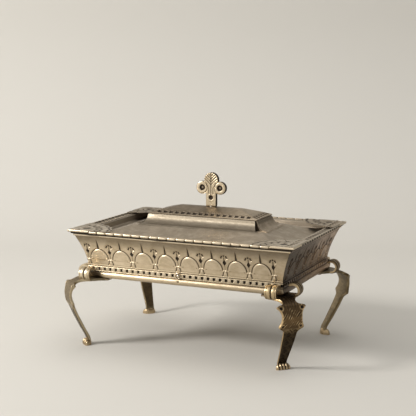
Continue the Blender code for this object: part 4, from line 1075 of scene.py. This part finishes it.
def finial():
    """Palmette plate. Its outline is the farthest reach of a lobe, two volutes and a neck from one centre.

    Front and back carry the same relief: a ring round a dished eye on each volute, a hole in the neck,
    ribs that spring from the middle line and curve out over the lobe, and two stems that curve from the
    volutes down to the hole.
    """
    low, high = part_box("finial")
    middle = (low.x + high.x) / 2
    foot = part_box("roof_plate")[1].z + 0.3 * MM
    top, half_y = high.z, high.y
    volute_x = high.x - middle - VOLUTE_RADIUS
    volute_z = foot + 16.0 * MM
    lobe_z = top - LOBE_RADIUS
    eye_z = foot + 7.6 * MM
    angle = np.linspace(0, 2 * math.pi, 320, endpoint=False)
    dx, dz = np.cos(angle), np.sin(angle)

    def reach(cx, cz, radius):
        """How far a ray from the centre goes before it leaves a disc."""
        along = dx * cx + dz * (cz - volute_z)
        room = radius**2 - (cx**2 + (cz - volute_z) ** 2 - along**2)
        return np.where(room > 0, along + np.sqrt(np.maximum(room, 0)), 0)

    side = NECK_HALF / np.maximum(np.abs(dx), 1e-6)
    above = (lobe_z - volute_z) / np.maximum(dz, 1e-6)
    below = (volute_z - foot) / np.maximum(-dz, 1e-6)
    up = np.where(dz > 0, above, below)
    outline = np.maximum.reduce(
        [
            np.minimum(side, up),
            reach(0, lobe_z, LOBE_RADIUS),
            reach(volute_x, volute_z, VOLUTE_RADIUS),
            reach(-volute_x, volute_z, VOLUTE_RADIUS),
        ]
    )
    share = np.concatenate([np.linspace(0.02, 0.96, 80), [0.975, 0.99, 1.0]])[:, None]
    x = outline * share * dx
    z = volute_z + outline * share * dz
    wide, tall = np.abs(x) / MM, (z - volute_z) / MM
    on_volute = np.hypot(np.abs(x) - volute_x, z - volute_z)
    hole = smooth_step(-on_volute, -EYE_RADIUS, -EYE_RADIUS + 0.6 * MM)
    dish = smooth_step(-on_volute, -EYE_RADIUS + 0.6 * MM, -0.3 * MM)
    ring = line(on_volute - EYE_RADIUS - 1.1 * MM, 0.6 * MM)
    ring_cut = line(on_volute - EYE_RADIUS - 2.2 * MM, 0.28 * MM) * (wide < 7.2) * (on_volute < VOLUTE_RADIUS)
    lower = np.hypot(x, z - eye_z)
    lower_hole = smooth_step(-lower, -LOWER_EYE_RADIUS, -LOWER_EYE_RADIUS + 0.6 * MM)
    lower_ring = line(lower - LOWER_EYE_RADIUS - 0.8 * MM, 0.45 * MM)
    groove = line(segment(x, z, (0, eye_z + 2.4 * MM), (0, top - 1.6 * MM)), 0.28 * MM)
    climb = tall - 1.2 * wide + 0.06 * wide * wide
    ribs = line(np.abs((climb / 2.4) % 1 - 0.5) - 0.5, 0.16) * smooth_step(climb, 0.6, 1.4)
    ribs = ribs * smooth_step(on_volute, 4.6 * MM, 5.2 * MM)
    stem_line = 1.9 + 2.6 * smooth_step(tall, -1.5, 4.5)
    stems = line(wide - stem_line, 0.32) * smooth_step(tall, -6.2, -5.2) * smooth_step(-tall, -4.4, -3.4)
    cut = np.clip(groove * 0.9 + ribs * 0.9 + ring_cut * 0.6 + stems * 0.7, 0, 1)
    cut = cut * (1 - hole) * (1 - lower_hole)
    rise = 0.12 * ring + 0.1 * lower_ring - 1.2 * hole + 0.3 * dish - 1.0 * lower_hole - 0.4 * cut
    # Painted shade in the eyes and on the plate's thin edge all round
    shade = cut * 0.9 + 1.6 * (hole - dish) + 0.55 * dish + 1.4 * lower_hole - 0.15 * ring - 0.1 * lower_ring
    shade = np.where(share > 0.985, 1.0, shade)
    rounding = np.sqrt(np.clip(1 - (np.clip(share - 0.92, 0, 1) / 0.08) ** 2, 0, 1))
    depth = (half_y - 0.35 * MM + rise * MM) * (0.8 + 0.2 * rounding)
    front = np.stack([middle + x, -depth, z], -1)
    back = np.stack([middle + x, depth, z], -1)[::-1]
    points = np.concatenate([front, back])
    both = np.concatenate([shade, shade[::-1]])
    skin("palmette", points, FINIAL_BRASS, "lid", ["finial"], both)
    stem_radius = 2.0 * MM
    turn = np.linspace(0, 2 * math.pi, 24, endpoint=False)
    levels = np.linspace(low.z, foot + 1 * MM, 90)
    thread = stem_radius - 0.2 * MM * (0.5 + 0.5 * np.sin(levels / (0.16 * MM)))
    rings = [
        np.stack([middle + r * np.cos(turn), r * np.sin(turn), np.full(24, z_at)], -1)
        for r, z_at in zip(thread, levels)
    ]
    skin("finial_stem", rings, FASTENER_STEEL, "lid", ["finial"])


def dress_nodes():
    """Finishes for the frame's own pieces that stay in sight."""
    for name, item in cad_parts.items():
        if item.hide_render:
            continue
        if any(word in name for word in ("rivet", "_pin", "screw", "nut", "washer")):
            finish = FASTENER_STEEL
        elif name == "bottom_plate":
            finish = FLOOR_BRASS
        elif name.startswith("corner_plate"):
            finish = PLATE_BRASS
        else:
            finish = LID_BRASS
        item.data.materials.clear()
        item.data.materials.append(finish)


def plain(name, tint):
    finish = Finish(name)
    finish.set(Base_Color=tint, Roughness=0.75)
    return finish.material


def stage():
    """Pale floor that sweeps up into a backdrop behind the box."""
    turn = np.linspace(0, math.pi / 2, 24)
    sweep = SWEEP_START + SWEEP_RADIUS * np.sin(turn)
    reach = np.concatenate([[-FLOOR_HALF], sweep, [SWEEP_START + SWEEP_RADIUS]])
    rise = np.concatenate([[0], SWEEP_RADIUS * (1 - np.cos(turn)), [SWEEP_HEIGHT]])
    facing = Vector((-math.sin(CAMERA_AZIMUTH), math.cos(CAMERA_AZIMUTH)))
    points, faces = [], []
    for r, z in zip(reach, rise):
        for side in (-FLOOR_HALF, FLOOR_HALF):
            points.append((facing.x * r + facing.y * side, facing.y * r - facing.x * side, z))
    for i in range(len(reach) - 1):
        faces.append((2 * i, 2 * i + 1, 2 * i + 3, 2 * i + 2))
    mesh = bpy.data.meshes.new("pale_sweep")
    mesh.from_pydata(points, [], faces)
    mesh.shade_smooth()
    mesh.materials.append(plain("pale_stage", colour(0.56, 0.545, 0.51)))
    item = bpy.data.objects.new("pale_sweep", mesh)
    bpy.context.scene.collection.objects.link(item)


def camera():
    azimuth, elevation = CAMERA_AZIMUTH, CAMERA_ELEVATION
    back = Vector(
        (
            math.sin(azimuth) * math.cos(elevation),
            -math.cos(azimuth) * math.cos(elevation),
            math.sin(elevation),
        )
    )
    right = Vector((math.cos(azimuth), math.sin(azimuth), 0))
    up = back.cross(right)
    rolled_right = right * math.cos(CAMERA_ROLL) + up * math.sin(CAMERA_ROLL)
    rolled_up = up * math.cos(CAMERA_ROLL) - right * math.sin(CAMERA_ROLL)
    data = bpy.data.cameras.new("camera")
    data.lens = LENS_MM
    data.sensor_width = SENSOR_MM
    item = bpy.data.objects.new("camera", data)
    place = Matrix((rolled_right, rolled_up, back)).transposed().to_4x4()
    place.translation = CAMERA_TARGET + back * CAMERA_DISTANCE
    item.matrix_world = place
    bpy.context.scene.collection.objects.link(item)
    bpy.context.scene.camera = item


def lamp(name, place, aim, size, power, tint):
    data = bpy.data.lights.new(name, "AREA")
    data.shape = "DISK"
    data.size = size
    data.energy = power
    data.color = tint
    item = bpy.data.objects.new(name, data)
    item.location = place
    item.rotation_euler = (Vector(aim) - Vector(place)).to_track_quat("-Z", "Y").to_euler()
    bpy.context.scene.collection.objects.link(item)


def lights():
    """Soft window light from the front left, a weak fill, and a room that is darker on the right."""
    lamp("window", (-1.05, -0.95, 0.85), (0, 0, 0.08), 0.4, 23, (1.0, 0.97, 0.93))
    lamp("top_fill", (0.1, 0.3, 1.3), (0, 0, 0.05), 1.0, 4, (1.0, 0.98, 0.95))
    world = bpy.data.worlds.new("room")
    world.use_nodes = True
    tree = world.node_tree
    background = tree.nodes["Background"]
    place = tree.nodes.new("ShaderNodeTexCoord")
    lean = tree.nodes.new("ShaderNodeVectorMath")
    lean.operation = "DOT_PRODUCT"
    lean.inputs[1].default_value = (-0.75, -0.45, 0.5)
    tree.links.new(place.outputs["Generated"], lean.inputs[0])
    shade = tree.nodes.new("ShaderNodeMapRange")
    shade.interpolation_type = "SMOOTHSTEP"
    shade.inputs["From Min"].default_value = -0.6
    shade.inputs["From Max"].default_value = 0.9
    shade.inputs["To Min"].default_value = 0.2
    shade.inputs["To Max"].default_value = 0.85
    tree.links.new(lean.outputs["Value"], shade.inputs["Value"])
    tree.links.new(shade.outputs["Result"], background.inputs["Strength"])
    background.inputs["Color"].default_value = colour(1.0, 0.975, 0.93)
    bpy.context.scene.world = world


WORN = colour(0.68, 0.575, 0.42)
PLAIN = colour(0.5, 0.41, 0.28)
# Dark colour for tarnish in the hollows and for painted shade
TARNISH_AND_SHADE = colour(0.04, 0.028, 0.018)
# Bands along the axes where the brass is darkened: painted shade under the lid's overhanging edge, painted
# shade growing away from the window on the left, and the painted shadow of the left front leg's arm on the
# bar
SHADE_UNDER_LID_EDGE = (2, WALL_HIGH - 13 * MM, WALL_HIGH - 3 * MM, 0.58)
SHADE_TO_THE_RIGHT = (0, -0.06, 0.09, 0.3)
ARM_SHADOW_ON_BAR = (0, -0.069, -0.077, 0.85)
FRONT_BRASS = brass("front_brass", WORN, PLAIN, TARNISH_AND_SHADE, 0.3, 0.0, (SHADE_TO_THE_RIGHT,))
BAR_BRASS = brass(
    "front_bar_brass",
    colour(0.64, 0.525, 0.365),
    colour(0.46, 0.365, 0.235),
    TARNISH_AND_SHADE,
    0.38,
    0.0,
    (SHADE_TO_THE_RIGHT, ARM_SHADOW_ON_BAR),
)
TO_THE_LEFT = (0, -0.05, -0.1, 0.16)
WALL_BRASS = brass(
    "front_wall_brass",
    colour(0.8, 0.67, 0.49),
    colour(0.62, 0.505, 0.345),
    TARNISH_AND_SHADE,
    0.34,
    0.0,
    (SHADE_UNDER_LID_EDGE, SHADE_TO_THE_RIGHT, TO_THE_LEFT),
)
ROLL_BRASS = brass("rolled_edge_brass", WORN, PLAIN, TARNISH_AND_SHADE, 0.32, -0.02, (), 0.08 * MM)
SHADE_BRASS = brass(
    "end_brass",
    colour(0.42, 0.29, 0.185),
    colour(0.14, 0.09, 0.054),
    TARNISH_AND_SHADE,
    0.36,
    0.06,
    ((1, 0.05, -0.05, 0.78),),
)
EDGE_BRASS = brass("edge_brass", colour(0.62, 0.525, 0.39), PLAIN, TARNISH_AND_SHADE, 0.33, -0.04, (), 0.05 * MM)
PLATE_BRASS = brass(
    "corner_plate_brass",
    colour(0.5, 0.435, 0.345),
    colour(0.38, 0.325, 0.25),
    TARNISH_AND_SHADE,
    0.33,
    0.02,
)
ARM_BRASS = brass("arm_brass", WORN, colour(0.46, 0.36, 0.22), TARNISH_AND_SHADE, 0.34, 0.0)
ARM_SHADE_BRASS = brass(
    "right_arm_brass", colour(0.5, 0.385, 0.23), colour(0.27, 0.2, 0.115), TARNISH_AND_SHADE, 0.33, 0.03
)
PAW_BRASS = brass("paw_brass", colour(0.5, 0.38, 0.23), colour(0.26, 0.195, 0.12), TARNISH_AND_SHADE, 0.3, 0.04)
LEG_BRASS = brass(
    "leg_brass",
    colour(0.42, 0.345, 0.225),
    colour(0.24, 0.19, 0.12),
    TARNISH_AND_SHADE,
    0.4,
    0.08,
    ((2, 0.036, 0.03, 0.72),),
)
# Painted shade: a much darker copy of the leg brass for the front right leg, which faces away from the
# window, darker still low down and at its top under the box
NIGHT = colour(0.01, 0.006, 0.0035)
SHADED_LEG_BRASS = brass(
    "right_leg_brass",
    colour(0.55, 0.4, 0.22),
    colour(0.15, 0.098, 0.05),
    NIGHT,
    0.34,
    -0.02,
    ((2, 0.044, 0.03, 0.92), (2, 0.05, 0.058, 0.6)),
)
# Painted shade: a darker copy of the leg brass for the back legs, behind the box
SHADED_BACK_LEG_BRASS = brass(
    "back_leg_brass",
    colour(0.28, 0.22, 0.13),
    colour(0.15, 0.118, 0.072),
    TARNISH_AND_SHADE,
    0.36,
    0.08,
)
LEG_FINISHES = {
    "front_left": LEG_BRASS,
    "front_right": SHADED_LEG_BRASS,
    "back_left": SHADED_BACK_LEG_BRASS,
    "back_right": SHADED_BACK_LEG_BRASS,
}
REAR_BRASS = brass("rear_lid_brass", colour(0.34, 0.285, 0.215), colour(0.24, 0.2, 0.15), TARNISH_AND_SHADE, 0.42, 0.04)
LID_BRASS = brass("lid_brass", colour(0.44, 0.38, 0.3), colour(0.31, 0.265, 0.205), TARNISH_AND_SHADE, 0.38, 0.04)
PANEL_BRASS = brass(
    "panel_brass",
    colour(0.42, 0.36, 0.285),
    colour(0.29, 0.245, 0.19),
    TARNISH_AND_SHADE,
    0.42,
    0.03,
    ((0, -0.07, -0.09, 0.2),),
    0.4 * MM,
)
# Painted shade: the plinth mouldings darken towards the foot of their cove
SHADE_IN_PLINTH_COVE = (2, 0.1085, 0.1045, 0.55)
PLINTH_BRASS = brass(
    "plinth_brass",
    colour(0.46, 0.4, 0.31),
    colour(0.34, 0.29, 0.22),
    TARNISH_AND_SHADE,
    0.44,
    -0.02,
    (SHADE_IN_PLINTH_COVE,),
    0.5 * MM,
)
# Painted shade: a darker copy of the plinth brass for the right strip, which faces away from the window
SHADED_PLINTH_END_BRASS = brass(
    "plinth_end_brass",
    colour(0.4, 0.33, 0.25),
    colour(0.25, 0.205, 0.15),
    TARNISH_AND_SHADE,
    0.42,
    0.03,
    (),
    0.5 * MM,
)
ROOF_BRASS = brass(
    "roof_brass",
    colour(0.4, 0.33, 0.245),
    colour(0.26, 0.21, 0.15),
    TARNISH_AND_SHADE,
    0.38,
    0.03,
    ((0, 0.03, 0.0, 0.45),),
)
FINIAL_BRASS = brass("finial_brass", WORN, PLAIN, TARNISH_AND_SHADE, 0.3, 0.0)
FLOOR_BRASS = brass("floor_brass", colour(0.34, 0.27, 0.18), colour(0.2, 0.15, 0.1), TARNISH_AND_SHADE, 0.42, 0.15)
FASTENER_STEEL = steel("fastener_steel")

camera()
stage()
lights()
walls()
bands()
bars()
boss()
legs()
edging()
rim()
corner_leaves()
panel()
plinth()
roof()
finial()
dress_nodes()

bpy.context.scene.view_settings.view_transform = "Standard"
